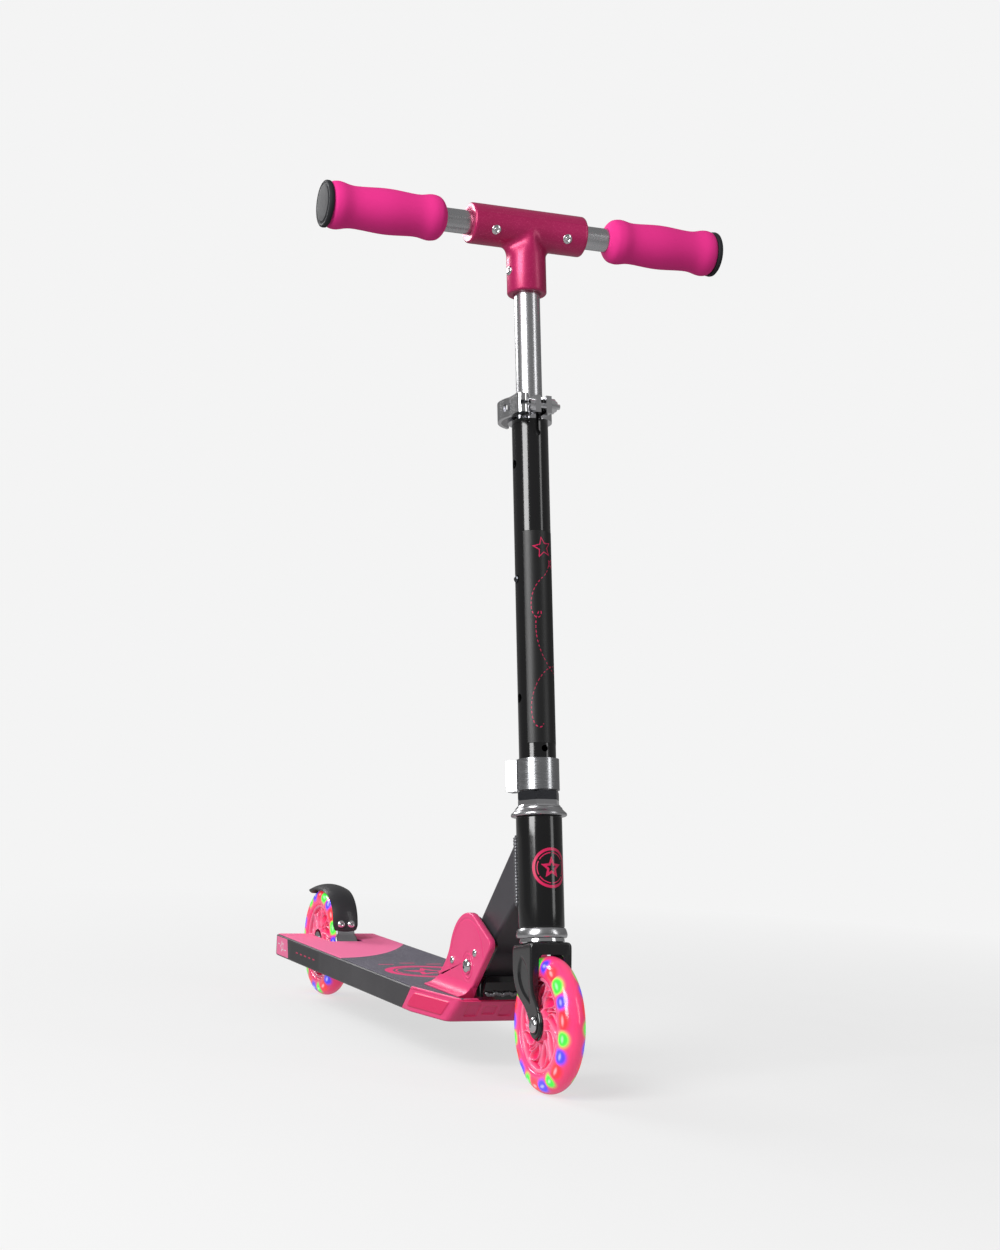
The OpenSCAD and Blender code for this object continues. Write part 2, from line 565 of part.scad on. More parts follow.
// A foam grip: bulges at both ends, a barrel in the middle and a valley on each side of it.
// t runs from the inner end to the end cap.
function bell(t, middle, width) = exp(-pow((t - middle) / width, 2));
function grip_radius(t) = grip_d / 2 - 2 + 2 * bell(t, 0.5, 0.2) + 2.4 * bell(t, 0.115, 0.07)
    + 3.1 * bell(t, 0.93, 0.08) - 7 * pow(1 - t, 34) - 1.2 * pow(t, 60);
function grip_profile() = [for (i = [0:36]) let (t = i / 36) [grip_radius(t), t * grip_length]];
module grip(side) on_column() translate([side * grip_x0, 0, bar_s]) rotate([0, side * 90, 0]) difference() {
    rotate_extrude($fn = fine) polygon(concat([[0, 0]], grip_profile(), [[0, grip_length]]));
    translate([0, 0, -eps]) cylinder(r = crossbar_d / 2, h = grip_length + 2 * eps, $fn = fine);
}
module grip_right() color("deeppink") grip(-1);
module grip_left() color("deeppink") grip(1);
module end_caps() color([0.12, 0.12, 0.13]) on_column() for (side = [-1, 1])
    translate([side * grip_x1, 0, bar_s]) rotate([0, side * 90, 0]) {
        rotate_extrude($fn = fine) polygon([[0, 0], [21.4, 0], [21.4, 2.6], [20.4, 4], [17.5, 5], [0, 5]]);
        translate([0, 0, -18]) cylinder(r = crossbar_d / 2 - tube_wall, h = 18.2);
    }
module lock_button() color("silver") on_column() translate([0, 0, holes_s[1]]) {
    rotate([0, -90, 0]) translate([0, 0, 9.4]) rotate_extrude() polygon(concat([[0, 0], [3.6, 0], [3.6, 7.8]],
        arc([0, 5.4], 4.3, 34, 90, 8)));
    translate([-9.7, -3.5, -22]) cube([0.8, 7, 30]);
    translate([-9.7, -3.5, -22.8]) cube([13.7, 7, 0.8]);
    translate([4, -3.5, -22.8]) cube([0.8, 7, 28]);
}

// ---------- wheels ----------
module at_front_axle() on_column() translate([0, -fork_offset, 0]) children();
module at_rear_axle() at_back(wheelbase, axle_z) children();
module tyre() {
    half = wheel_w / 2;
    r = wheel_d / 2;
    rotate([0, 90, 0]) rotate_extrude($fn = fine) polygon(concat(
        [[core_d / 2, -half + 1.5], [core_d / 2 + 3, -half + 0.3]],
        [for (i = [0:12]) let (a = -90 + i * 15) [r - 11 + 11 * cos(a), half * sin(a)]],
        [[core_d / 2 + 3, half - 0.3], [core_d / 2, half - 1.5]]));
}
module core() difference() {
    union() {
        ring_x(-hub_half, hub_half, bearing_r, hub_r);
        ring_x(-wheel_w / 2 + 2, wheel_w / 2 - 2, core_d / 2 - 4, core_d / 2);
        ring_x(-3, 3, hub_r - 1, core_d / 2 - 3);
        for (i = [0:core_ribs - 1]) rotate([i * 360 / core_ribs, 0, 0]) core_rib();
        ring_x(-2, 2, bearing_r - 3, hub_r);
    }
    for (i = [0:2:core_ribs - 1]) rotate([(i + 0.5) * 360 / core_ribs, 0, 0]) led_pocket();
}
// One rib, curved like a petal, from inside the hub to inside the rim
module core_rib() intersection() {
    difference() {
        translate([0, 0, hub_r + 14.5]) ring_x(-wheel_w / 2 + 3, wheel_w / 2 - 3, 13, 15.5);
        translate([-20, 0, -20]) cube([40, 40, 80]);
    }
    bar_x(-20, 20, core_d / 2 - 2);
}
// The light units sit in pockets around the rim, under the tyre
module light_block(height) translate([-2, -2.5, core_d / 2 - 3.4]) cube([4, 5, height]);
module led_pocket() light_block(6);
module led_units() for (i = [0:2:core_ribs - 1]) rotate([(i + 0.5) * 360 / core_ribs, 0, 0]) light_block(3);
module bearings() for (side = [-1, 1])
    ring_x(side > 0 ? hub_half - bearing_w : -hub_half, side > 0 ? hub_half : bearing_w - hub_half,
        m8 + bolt_fit, bearing_r);
module front_tyre() color([1, 0.3, 0.6, 0.8]) at_front_axle() tyre();
module front_core() color("hotpink") at_front_axle() core();
module front_bearings() color("silver") at_front_axle() bearings();
module front_led_units() color("white") at_front_axle() led_units();
module rear_tyre() color([1, 0.3, 0.6, 0.8]) at_rear_axle() tyre();
module rear_core() color("hotpink") at_rear_axle() core();
module rear_bearings() color("silver") at_rear_axle() bearings();
module rear_led_units() color("white") at_rear_axle() led_units();

// ---------- brake ----------
// The fender's side outline: up from the deck, over a round shoulder and back along the tyre to a tail
function fender_curve(d) = concat(
    bezier([[567 + d, 79], [567.6 + d, 99], [577 + d * 0.6, 122 - d * 0.8], [612, 125 - d]], 14),
    bezier([[612, 125 - d], [632, 126.6 - d], [654 - d * 0.2, 124.5 - d],
        [672 - d * 0.4, 114.5 - d * 0.8]], 10));
module fender_band(d0, d1, x) along_x(-x, x) polygon(back(concat(fender_curve(d0),
    [for (i = [len(fender_curve(d1)) - 1:-1:0]) fender_curve(d1)[i]])));
module brake_fender() color([0.06, 0.06, 0.07]) difference() {
    fender_band(0, 5.5, fender_half);
    fender_band(2.6, 14, fender_half - 2.4);
    brake_screw_places() translate([0, 0, -10]) cylinder(r = m4, h = 20);
}
// The spring plate: riveted under the deck, bent up through the slot and screwed behind the fender's front
module brake_plate() color("silver") difference() {
    intersection() {
        along_x(-15, 15) polygon(back(concat(
            [for (i = [4:-1:0]) fender_curve(2.7)[i]],
            [[bend_back, plate_top], [bend_back - 22, plate_top], [bend_back - 22, plate_top - plate_t],
             [bend_back + 1.1, plate_top - plate_t]],
            [for (i = [0:4]) fender_curve(2.7 + plate_t)[i]])));
        along_y(front_y + bend_back - 30, front_y + bend_back + 40) polygon([[-12.5, 55], [12.5, 55],
            [12.5, 71], [10.4, 76], [10.4, 120], [-10.4, 120], [-10.4, 76], [-12.5, 71]]);
    }
    brake_screw_places() translate([0, 0, -10]) cylinder(r = m4, h = 20);
    rivet_places() cylinder(r = m4, h = 20);
}
module brake_screw_places() for (side = [-1, 1]) translate([side * 5.8, front_y + 567.5, 86.3])
    rotate([82, 0, 0]) children();
module brake_screws() color("silver") brake_screw_places() {
    button_head(4, 2.4, 3);
    translate([0, 0, -8]) cylinder(r = m4, h = 8);
}

deck_extrusion();
griptape();
front_bumper();
hinge_bracket();
hinge_cover_right();
hinge_cover_left();
cover_screws();
fold_bolt();
rear_end_plugs();
rear_axle_bolt();
rear_axle_nut();
rear_axle_spacers();
brake_rivets();
fold_lever();
fold_lever_pin();
neck();
head_tube();
pivot_bushes();
headset_cup_upper();
headset_cup_lower();
fork();
steerer_tube();
crown_race();
headset_bearings();
adjusting_nut();
lock_nut();
column_tube();
column_clamp();
column_clamp_bolts();
guide_bush();
quick_release_collar();
clamp_bolt();
clamp_nut();
front_axle_bolt();
front_axle_nut();
front_axle_washers();
front_axle_spacer();
clamp_lever();
clamp_lever_pin();
inner_tube();
t_sleeve();
t_sleeve_screws();
crossbar();
grip_right();
grip_left();
end_caps();
lock_button();
front_tyre();
front_core();
front_bearings();
front_led_units();
rear_tyre();
rear_core();
rear_bearings();
rear_led_units();
brake_fender();
brake_plate();
brake_screws();
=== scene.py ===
"""A child's folding kick scooter, with its finishes, lights and camera.

Sizes are millimetres and become metres where a mesh is made. Every new surface is a grid of points:
a turned profile, a section carried along a path, or a height over a face. Drawings on a surface are
distances in millimetres, below zero inside a shape, that a finish turns into crisp inks.
"""

import json
import logging
from dataclasses import dataclass, field, replace
from enum import Enum
import bpy
import numpy as np
from mathutils import Matrix


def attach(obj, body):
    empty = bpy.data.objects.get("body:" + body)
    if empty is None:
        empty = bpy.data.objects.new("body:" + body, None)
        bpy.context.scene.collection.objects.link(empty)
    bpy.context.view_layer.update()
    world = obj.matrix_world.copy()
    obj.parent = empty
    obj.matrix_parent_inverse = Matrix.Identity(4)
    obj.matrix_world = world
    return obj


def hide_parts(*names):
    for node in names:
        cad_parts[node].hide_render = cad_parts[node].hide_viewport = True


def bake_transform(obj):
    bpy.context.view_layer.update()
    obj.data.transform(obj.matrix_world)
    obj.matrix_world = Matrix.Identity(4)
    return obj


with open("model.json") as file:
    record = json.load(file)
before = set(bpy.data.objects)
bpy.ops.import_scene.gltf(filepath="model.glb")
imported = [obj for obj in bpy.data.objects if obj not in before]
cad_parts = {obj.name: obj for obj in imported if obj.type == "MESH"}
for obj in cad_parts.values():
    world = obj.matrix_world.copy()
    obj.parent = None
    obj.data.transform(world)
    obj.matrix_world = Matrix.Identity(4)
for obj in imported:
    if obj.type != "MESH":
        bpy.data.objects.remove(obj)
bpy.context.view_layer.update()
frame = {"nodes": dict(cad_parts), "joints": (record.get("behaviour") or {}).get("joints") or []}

Array = np.ndarray
Color = tuple[float, float, float]
Thing = bpy.types.Object
Node = bpy.types.Node
Socket = bpy.types.NodeSocket
Tree = bpy.types.NodeTree
log = logging.getLogger("scooter")


# ---------- places ----------
@dataclass(frozen=True)
class Placement:
    """A right-handed frame in the model: where it starts, in metres, and its three axes as rows."""

    origin: Array
    axes: Array

    def out(self, points: Array) -> Array:
        """Points in millimetres in this frame, as metres in the model."""
        return self.origin + (np.asarray(points, float) / 1000.0) @ self.axes


def joint(name: str) -> dict:
    """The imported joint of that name."""
    return next(j for j in frame["joints"] if j["name"] == name)


def ground_frame() -> Placement:
    """x to the rider's left, y rearwards from the front axle, z up from the ground."""
    axle = joint("front_wheel_spin")["pos_m"]
    return Placement(np.array([0.0, axle[1], 0.0]), np.eye(3))


def column_frame() -> Placement:
    """x to the rider's left, y rearwards, z up the steering axis, level with the front axle at z = 0."""
    turn, axle = joint("steering"), np.array(joint("front_wheel_spin")["pos_m"])
    up = np.array(turn["axis"], float)
    up /= np.linalg.norm(up)
    pos = np.array(turn["pos_m"])
    foot = pos - up * np.dot(pos - axle, up)
    return Placement(foot, np.array([[1.0, 0.0, 0.0], [0.0, up[2], -up[1]], up]))


GROUND = ground_frame()
COLUMN = column_frame()
FRONT_AXLE = Placement(np.array(joint("front_wheel_spin")["pos_m"]), COLUMN.axes)
REAR_AXLE = Placement(np.array(joint("rear_wheel_spin")["pos_m"]), np.eye(3))


# ---------- grids ----------
@dataclass
class Sheet:
    """A grid of points in metres, shaped (rows, columns, 3), with named values at its points.

    close_rows and close_cols join the last row or column to the first. caps closes the first and the
    last row with one flat face each. inside is a point that the faces look away from; without one
    they look out of the closed volume.
    """

    points: Array
    close_rows: bool = False
    close_cols: bool = False
    caps: tuple[bool, bool] = (False, False)
    inside: Array | None = None
    values: dict[str, Array] = field(default_factory=dict)
    keep: Array | None = None

    def quads(self) -> Array:
        """Corner numbers of the four-sided faces, as an array shaped (faces, 4)."""
        rows, cols = self.points.shape[:2]
        number = np.arange(rows * cols).reshape(rows, cols)
        r = np.arange(rows if self.close_rows else rows - 1)
        c = np.arange(cols if self.close_cols else cols - 1)
        r, c = np.meshgrid(r, c, indexing="ij")
        r1, c1 = (r + 1) % rows, (c + 1) % cols
        quads = np.stack([number[r, c], number[r, c1], number[r1, c1], number[r1, c]], -1)
        if self.keep is not None:
            return quads[self.keep]
        return quads.reshape(-1, 4)

    def faces(self) -> list[list[int]]:
        """All faces, turned so that they look outwards."""
        rows, cols = self.points.shape[:2]
        quads = self.quads()
        flat = self.points.reshape(-1, 3)
        p = flat[quads]
        normal = np.cross(p[:, 2] - p[:, 0], p[:, 3] - p[:, 1])
        centre = flat.mean(0) if self.inside is None else np.asarray(self.inside)
        faces = quads.tolist()
        if self.caps[0]:
            faces.append(list(range(cols))[::-1])
        if self.caps[1]:
            faces.append(list(range((rows - 1) * cols, rows * cols)))
        if np.sum(normal * (p.mean(1) - centre)) < 0:
            faces = [face[::-1] for face in faces]
        return faces


FAR = 99.0  # a distance in millimetres that no ink reaches


def build(name: str, sheets: list[Sheet]) -> Thing:
    """One mesh object from the sheets, smooth but for its flat caps.

    Args:
        name: the piece's name.
        sheets: the grids, all in metres.
    Returns:
        The object, at the origin, with the sheets' values as point attributes.
    """
    points, faces, start = [], [], 0
    names = sorted({key for sheet in sheets for key in sheet.values})
    values: dict[str, list[Array]] = {key: [] for key in names}
    for sheet in sheets:
        count = sheet.points.shape[0] * sheet.points.shape[1]
        points.append(sheet.points.reshape(-1, 3))
        faces += [[i + start for i in face] for face in sheet.faces()]
        for key in names:
            wide = next(s.values[key].shape[2:] for s in sheets if key in s.values)
            blank = np.full((count, *wide), FAR)
            values[key].append(sheet.values.get(key, blank).reshape(count, *wide))
        start += count
    mesh = bpy.data.meshes.new(name)
    mesh.from_pydata(np.concatenate(points).tolist(), [], faces)
    mesh.update()
    for key, parts in values.items():
        data = np.concatenate(parts).astype(np.float32)
        if data.ndim == 2:
            data = np.column_stack([data, np.ones(len(data), np.float32)])
            mesh.attributes.new(key, "FLOAT_COLOR", "POINT").data.foreach_set("color", data.ravel())
        else:
            mesh.attributes.new(key, "FLOAT", "POINT").data.foreach_set("value", data)
    mesh.polygons.foreach_set("use_smooth", [len(f) <= 4 for f in faces])
    return linked(name, mesh)


def linked(name: str, data: bpy.types.ID) -> Thing:
    """A new object in the scene that holds the data."""
    thing = bpy.data.objects.new(name, data)
    bpy.context.scene.collection.objects.link(thing)
    return thing


def lathe(place: Placement, axis: int, profile: Array, turns: int,
          middle: list[float] | None = None) -> Sheet:
    """A turned surface: each profile point (distance along the axis, radius) becomes a circle.

    Args:
        place: the frame the profile is in.
        axis: 0 to turn about x, 2 to turn about z.
        profile: points shaped (n, 2); a closed one repeats no point.
        turns: points round a circle.
        middle: where the axis crosses the frame's other two directions.
    Returns:
        The surface, closed round the axis.
    """
    angle = np.linspace(0, 2 * np.pi, turns, endpoint=False)
    along, radius = np.asarray(profile, float).T
    a = along[:, None] + 0 * angle
    b, c = radius[:, None] * np.cos(angle), radius[:, None] * np.sin(angle)
    grid = np.stack([a, b, c] if axis == 0 else [b, c, a], -1)
    if middle is not None:
        grid = grid + np.asarray(middle, float)
    return Sheet(place.out(grid), close_cols=True)


def rounded(points: list[tuple[float, float, float]], steps: int = 5, closed: bool = True) -> Array:
    """A line whose corners are rounded by quadratic curves.

    Args:
        points: the corners, each as (x, y, radius).
        steps: spans in each rounded corner.
        closed: whether the last corner joins the first.
    Returns:
        The line's points, shaped (n, 2).
    """
    p = np.array([[x, y] for x, y, _ in points], float)
    count, out = len(p), []
    t = np.linspace(0, 1, steps + 1)[:, None]
    for i, (x, y, radius) in enumerate(points):
        here = np.array([x, y], float)
        if radius <= 0 or (not closed and i in (0, count - 1)):
            out.append(here[None])
            continue
        to_last, to_next = p[i - 1] - here, p[(i + 1) % count] - here
        a = here + to_last / np.linalg.norm(to_last) * min(radius, 0.48 * np.linalg.norm(to_last))
        b = here + to_next / np.linalg.norm(to_next) * min(radius, 0.48 * np.linalg.norm(to_next))
        out.append((1 - t) ** 2 * a + 2 * t * (1 - t) * here + t**2 * b)
    return np.concatenate(out)


def lengths(line: Array) -> Array:
    """The length of the line up to each of its points."""
    return np.concatenate([[0], np.cumsum(np.linalg.norm(np.diff(line, axis=0), axis=1))])


def unit(vectors: Array) -> Array:
    """Rows of length 1 that point the same ways."""
    return vectors / np.linalg.norm(vectors, axis=1)[:, None]


def left_of(line: Array) -> Array:
    """Unit vectors along a flat line, turned a quarter to the left."""
    step = unit(np.gradient(line, axis=0))
    return np.stack([-step[:, 1], step[:, 0]], -1)


def resample(points: Array, count: int, closed: bool = False) -> Array:
    """The same line with count points at equal steps."""
    line = np.vstack([points, points[:1]]) if closed else np.asarray(points, float)
    length = lengths(line)
    at = np.linspace(0, length[-1], count, endpoint=not closed)
    return np.stack([np.interp(at, length, line[:, k]) for k in range(line.shape[1])], -1)


def bezier(a: tuple, b: tuple, c: tuple, d: tuple, count: int) -> Array:
    """A cubic curve from a to d with handles b and c."""
    t = np.linspace(0, 1, count)[:, None]
    a, b, c, d = (np.array(p, float) for p in (a, b, c, d))
    return (1 - t) ** 3 * a + 3 * (1 - t) ** 2 * t * b + 3 * (1 - t) * t**2 * c + t**3 * d


def inward(outline: Array) -> Array:
    """Unit normals of a closed outline that point inwards."""
    step = np.roll(outline, -1, 0) - np.roll(outline, 1, 0)
    step /= np.linalg.norm(step, axis=1)[:, None] + 1e-9
    normal = np.stack([-step[:, 1], step[:, 0]], -1)
    x, y = outline.T
    area = np.sum(x * np.roll(y, -1) - y * np.roll(x, -1))
    return normal if area > 0 else -normal


def slab(place: Placement, outline: Array, lo: float, hi: float, edge: float,
         swap: tuple[int, int, int]) -> Sheet:
    """A plate with rounded edges: the outline, drawn inwards and lifted along a quarter circle at each edge.

    Args:
        place: the frame it is in.
        outline: its closed outline.
        lo: the height of its lower face.
        hi: the height of its upper face.
        edge: the radius of its edges.
        swap: which of (outline x, outline y, height) goes to the frame's x, y and z.
    Returns:
        The plate, with a flat cap on each face.
    """
    quarter = np.linspace(0, np.pi / 2, 6)
    rise = edge * (1 - np.cos(quarter))
    draw = edge * (1 - np.sin(quarter))
    heights = np.concatenate([[lo], lo + rise, (hi - rise)[::-1], [hi]])
    draws = np.concatenate([[edge + 0.3], draw, draw[::-1], [edge + 0.3]])
    rings = outline[None] + inward(outline)[None] * draws[:, None, None]
    grid = np.concatenate([rings, np.broadcast_to(heights[:, None, None], (*rings.shape[:2], 1))], -1)
    return Sheet(place.out(grid[..., list(swap)]), close_cols=True, caps=(True, True))


def dome(place: Placement, at: tuple, normal: tuple, radius: float, height: float, socket: float) -> Sheet:
    """A domed screw head on a face: a turned cap with a six-sided recess.

    Args:
        place: the frame it is in.
        at: the middle of its seat.
        normal: the way it faces.
        radius: its outer radius.
        height: how far it stands out.
        socket: the radius of its recess.
    Returns:
        The head, with a flat floor in its recess.
    """
    normal = np.array(normal, float) / np.linalg.norm(normal)
    side = np.cross(normal, [0.0, 0.31, 0.95])
    side /= np.linalg.norm(side)
    other = np.cross(normal, side)
    angle = np.linspace(0, 2 * np.pi, 48, endpoint=False)
    t = np.linspace(0, 1, 9)
    bend = t[1:-1] * 1.25
    rad = np.concatenate([[radius, radius], radius * np.cos(bend), socket * np.array([1.18, 1.0, 0.94])])
    high = np.concatenate([[-0.4, height * 0.16], height * (0.16 + 0.84 * np.sin(bend)),
                           height * np.array([1.0, 0.93, 0.25])])
    hexed = 1 / np.cos((angle % (np.pi / 3)) - np.pi / 6)
    shape = np.ones((len(rad), len(angle)))
    shape[-2:] = hexed * 0.95
    circle = np.cos(angle)[:, None] * side + np.sin(angle)[:, None] * other
    ring = rad[:, None, None] * shape[..., None] * circle
    grid = np.array(at, float) + ring + high[:, None, None] * normal
    centre = place.out(np.array(at, float) + normal * height * 0.3)
    return Sheet(place.out(grid), close_cols=True, caps=(False, True), inside=centre)


# ---------- drawings: distances in millimetres, below zero inside ----------
def smooth(x: Array, lo: float, hi: float) -> Array:
    """0 below lo, 1 above hi, and an S-curve between."""
    t = np.clip((x - lo) / (hi - lo), 0, 1)
    return t * t * (3 - 2 * t)


def box_distance(x: Array, y: Array, cx: float, cy: float, hx: float, hy: float, r: float = 0.0) -> Array:
    """Distance to a rectangle with half sizes hx and hy and corners of radius r."""
    dx, dy = np.abs(x - cx) - hx + r, np.abs(y - cy) - hy + r
    return np.hypot(np.maximum(dx, 0), np.maximum(dy, 0)) + np.minimum(np.maximum(dx, dy), 0) - r


def star_distance(x: Array, y: Array, radius: float, inner: float, turn: float = 0.0) -> Array:
    """Distance to a five-pointed star: one edge of it, mirrored and repeated round the centre."""
    step = np.pi / 5
    angle = np.abs((np.arctan2(x, y) + turn + step) % (2 * step) - step)
    rho = np.hypot(x, y)
    px, py = rho * np.cos(angle), rho * np.sin(angle)
    ex, ey = inner * np.cos(step) - radius, inner * np.sin(step)
    return ((px - radius) * ey - py * ex) / np.hypot(ex, ey)


def line_distance(x: Array, y: Array, line: Array, half: float) -> tuple[Array, Array]:
    """Distance to a thick line, and the length along it of the nearest point."""
    length = lengths(line)
    away = np.hypot(x[..., None] - line[:, 0], y[..., None] - line[:, 1])
    return away.min(-1) - half, length[away.argmin(-1)]


# ---------- finishes ----------
class Pink(Enum):
    """The pinks of the scooter, as linear colours."""

    PLASTIC = (0.84, 0.056, 0.215)
    FOAM = (0.50, 0.003, 0.066)
    SLEEVE = (0.52, 0.010, 0.120)
    TAPE = (1.0, 0.200, 0.410)
    INK = (0.72, 0.010, 0.105)
    CORE = (1.0, 0.030, 0.200)
    # painted highlight: the lighter pink given to the core's raised petals, rim and hub
    CORE_PAINTED_HIGHLIGHT = (1.0, 0.230, 0.400)


class Gray(Enum):
    """The neutrals, as linear colours."""

    BLACK = (0.0055, 0.0055, 0.006)
    MATT_BLACK = (0.011, 0.011, 0.012)
    NECK = (0.046, 0.043, 0.051)
    DECK = (0.060, 0.057, 0.063)
    CHARCOAL = (0.150, 0.140, 0.175)
    CHROME = (0.80, 0.81, 0.83)
    ALLOY = (0.62, 0.63, 0.65)
    STEEL = (0.42, 0.42, 0.44)
    DARK_STEEL = (0.11, 0.115, 0.125)
    NYLON = (0.75, 0.75, 0.72)


@dataclass(frozen=True)
class Ink:
    """A second colour where a named distance is below zero, with its own roughness."""

    value: str
    color: Color
    roughness: float = 0.45
    soft: float = 0.12


class Shader:
    """A material's node tree, written from its inputs to its surface."""

    def __init__(self, name: str) -> None:
        """An empty material of that name."""
        self.material = bpy.data.materials.new(name)
        self.material.use_nodes = True
        self.tree = self.material.node_tree
        self.tree.nodes.clear()

    def node(self, kind: str, inputs: dict | None = None, **settings: object) -> Node:
        """A node of that kind, with its settings, and its inputs given as values or as sockets."""
        return add_node(self.tree, kind, inputs, **settings)

    def math(self, operation: str, *terms: object) -> Socket:
        """The result of one operation on values or sockets."""
        return self.node("ShaderNodeMath", dict(enumerate(terms)), operation=operation).outputs[0]

    def mix(self, amount: object, a: object, b: object) -> Socket:
        """Colour a turned into colour b by the amount."""
        made = self.node("ShaderNodeMix", {0: amount, 6: rgba(a), 7: rgba(b)}, data_type="RGBA")
        return made.outputs[2]

    def value(self, name: str) -> Node:
        """The named value that the mesh carries."""
        return self.node("ShaderNodeAttribute", attribute_name=name)

    def group(self, tree: Tree, inputs: dict) -> Node:
        """A use of a shared effect."""
        made = self.tree.nodes.new("ShaderNodeGroup")
        made.node_tree = tree
        link_inputs(self.tree, made, inputs)
        return made

    def finish(self, surface: Socket) -> bpy.types.Material:
        """The material, with that surface."""
        self.node("ShaderNodeOutputMaterial", {"Surface": surface})
        return self.material


def rgba(color: object) -> object:
    """A colour with its alpha, or the socket as it is."""
    return (*color, 1.0) if isinstance(color, tuple) and len(color) == 3 else color


def link_inputs(tree: Tree, node: Node, inputs: dict | None) -> None:
    """Sets each input to its value, or joins it to its socket."""
    for key, given in (inputs or {}).items():
        if isinstance(given, Socket):
            tree.links.new(given, node.inputs[key])
        else:
            node.inputs[key].default_value = given


def add_node(tree: Tree, kind: str, inputs: dict | None = None, **settings: object) -> Node:
    """A node in that tree, with its settings and inputs."""
    made = tree.nodes.new(kind)
    for key, given in settings.items():
        setattr(made, key, given)
    link_inputs(tree, made, inputs)
    return made


def effect(name: str, outputs: tuple[str, ...], inputs: dict[str, float]) -> tuple:
    """A new shared effect: its tree, the node that holds its inputs and the node that takes its outputs."""
    tree = bpy.data.node_groups.new(name, "ShaderNodeTree")
    for key, default in inputs.items():
        tree.interface.new_socket(key, in_out="INPUT", socket_type="NodeSocketFloat").default_value = default
    for key in outputs:
        tree.interface.new_socket(key, in_out="OUTPUT", socket_type="NodeSocketFloat")
    return tree, tree.nodes.new("NodeGroupInput"), tree.nodes.new("NodeGroupOutput")


def grain_effect() -> Tree:
    """Unevenness on Object coordinates: fine is the paint's texture, broad the slow change over a part."""
    tree, source, result = effect("uneven", ("Fine", "Broad"), {"Scale": 900.0})
    where = add_node(tree, "ShaderNodeTexCoord").outputs["Object"]
    fine = add_node(tree, "ShaderNodeTexNoise", {"Vector": where, "Scale": source.outputs[0], "Detail": 3.0})
    broad = add_node(tree, "ShaderNodeTexNoise", {"Vector": where, "Scale": 14.0, "Detail": 4.0})
    tree.links.new(fine.outputs[0], result.inputs[0])
    tree.links.new(broad.outputs[0], result.inputs[1])
    return tree


def streak_effect() -> Tree:
    """Brushing marks: noise on Object coordinates, stretched along the directions with a small scale."""
    tree, source, result = effect("brushed", ("Marks",), {"X": 40.0, "Y": 40.0, "Z": 1500.0})
    where = add_node(tree, "ShaderNodeTexCoord").outputs["Object"]
    scale = add_node(tree, "ShaderNodeCombineXYZ", {k: source.outputs[k] for k in range(3)})
    there = add_node(tree, "ShaderNodeVectorMath", {0: where, 1: scale.outputs[0]}, operation="MULTIPLY")
    marks = add_node(tree, "ShaderNodeTexNoise", {"Vector": there.outputs[0], "Scale": 1.0, "Detail": 4.0})
    tree.links.new(marks.outputs[0], result.inputs[0])
    return tree


def sparkle_effect() -> Tree:
    """Bright flakes: cells on Object coordinates, of which the given share shines."""
    tree, source, result = effect("flakes", ("Flake",), {"Scale": 1400.0, "Share": 0.06})
    where = add_node(tree, "ShaderNodeTexCoord").outputs["Object"]
    spread = add_node(tree, "ShaderNodeTexVoronoi", {"Vector": where, "Scale": source.outputs[0]})
    cells = add_node(tree, "ShaderNodeTexWhiteNoise", {"Vector": spread.outputs["Position"]})
    level = add_node(tree, "ShaderNodeMath", {0: 1.0, 1: source.outputs[1]}, operation="SUBTRACT").outputs[0]
    flake = add_node(tree, "ShaderNodeMath", {0: cells.outputs["Value"], 1: level}, operation="GREATER_THAN")
    tree.links.new(flake.outputs[0], result.inputs[0])
    return tree


GRAIN, STREAKS, FLAKES = grain_effect(), streak_effect(), sparkle_effect()


PATCH_EDGES = (0.35, 0.68)  # where the broad unevenness starts and ends the second colour
TINT_SHARE = 0.94
STREAK_ROUGHNESS = 0.45
STREAK_SHADE = 0.55
FLAKE_COVER = 0.8


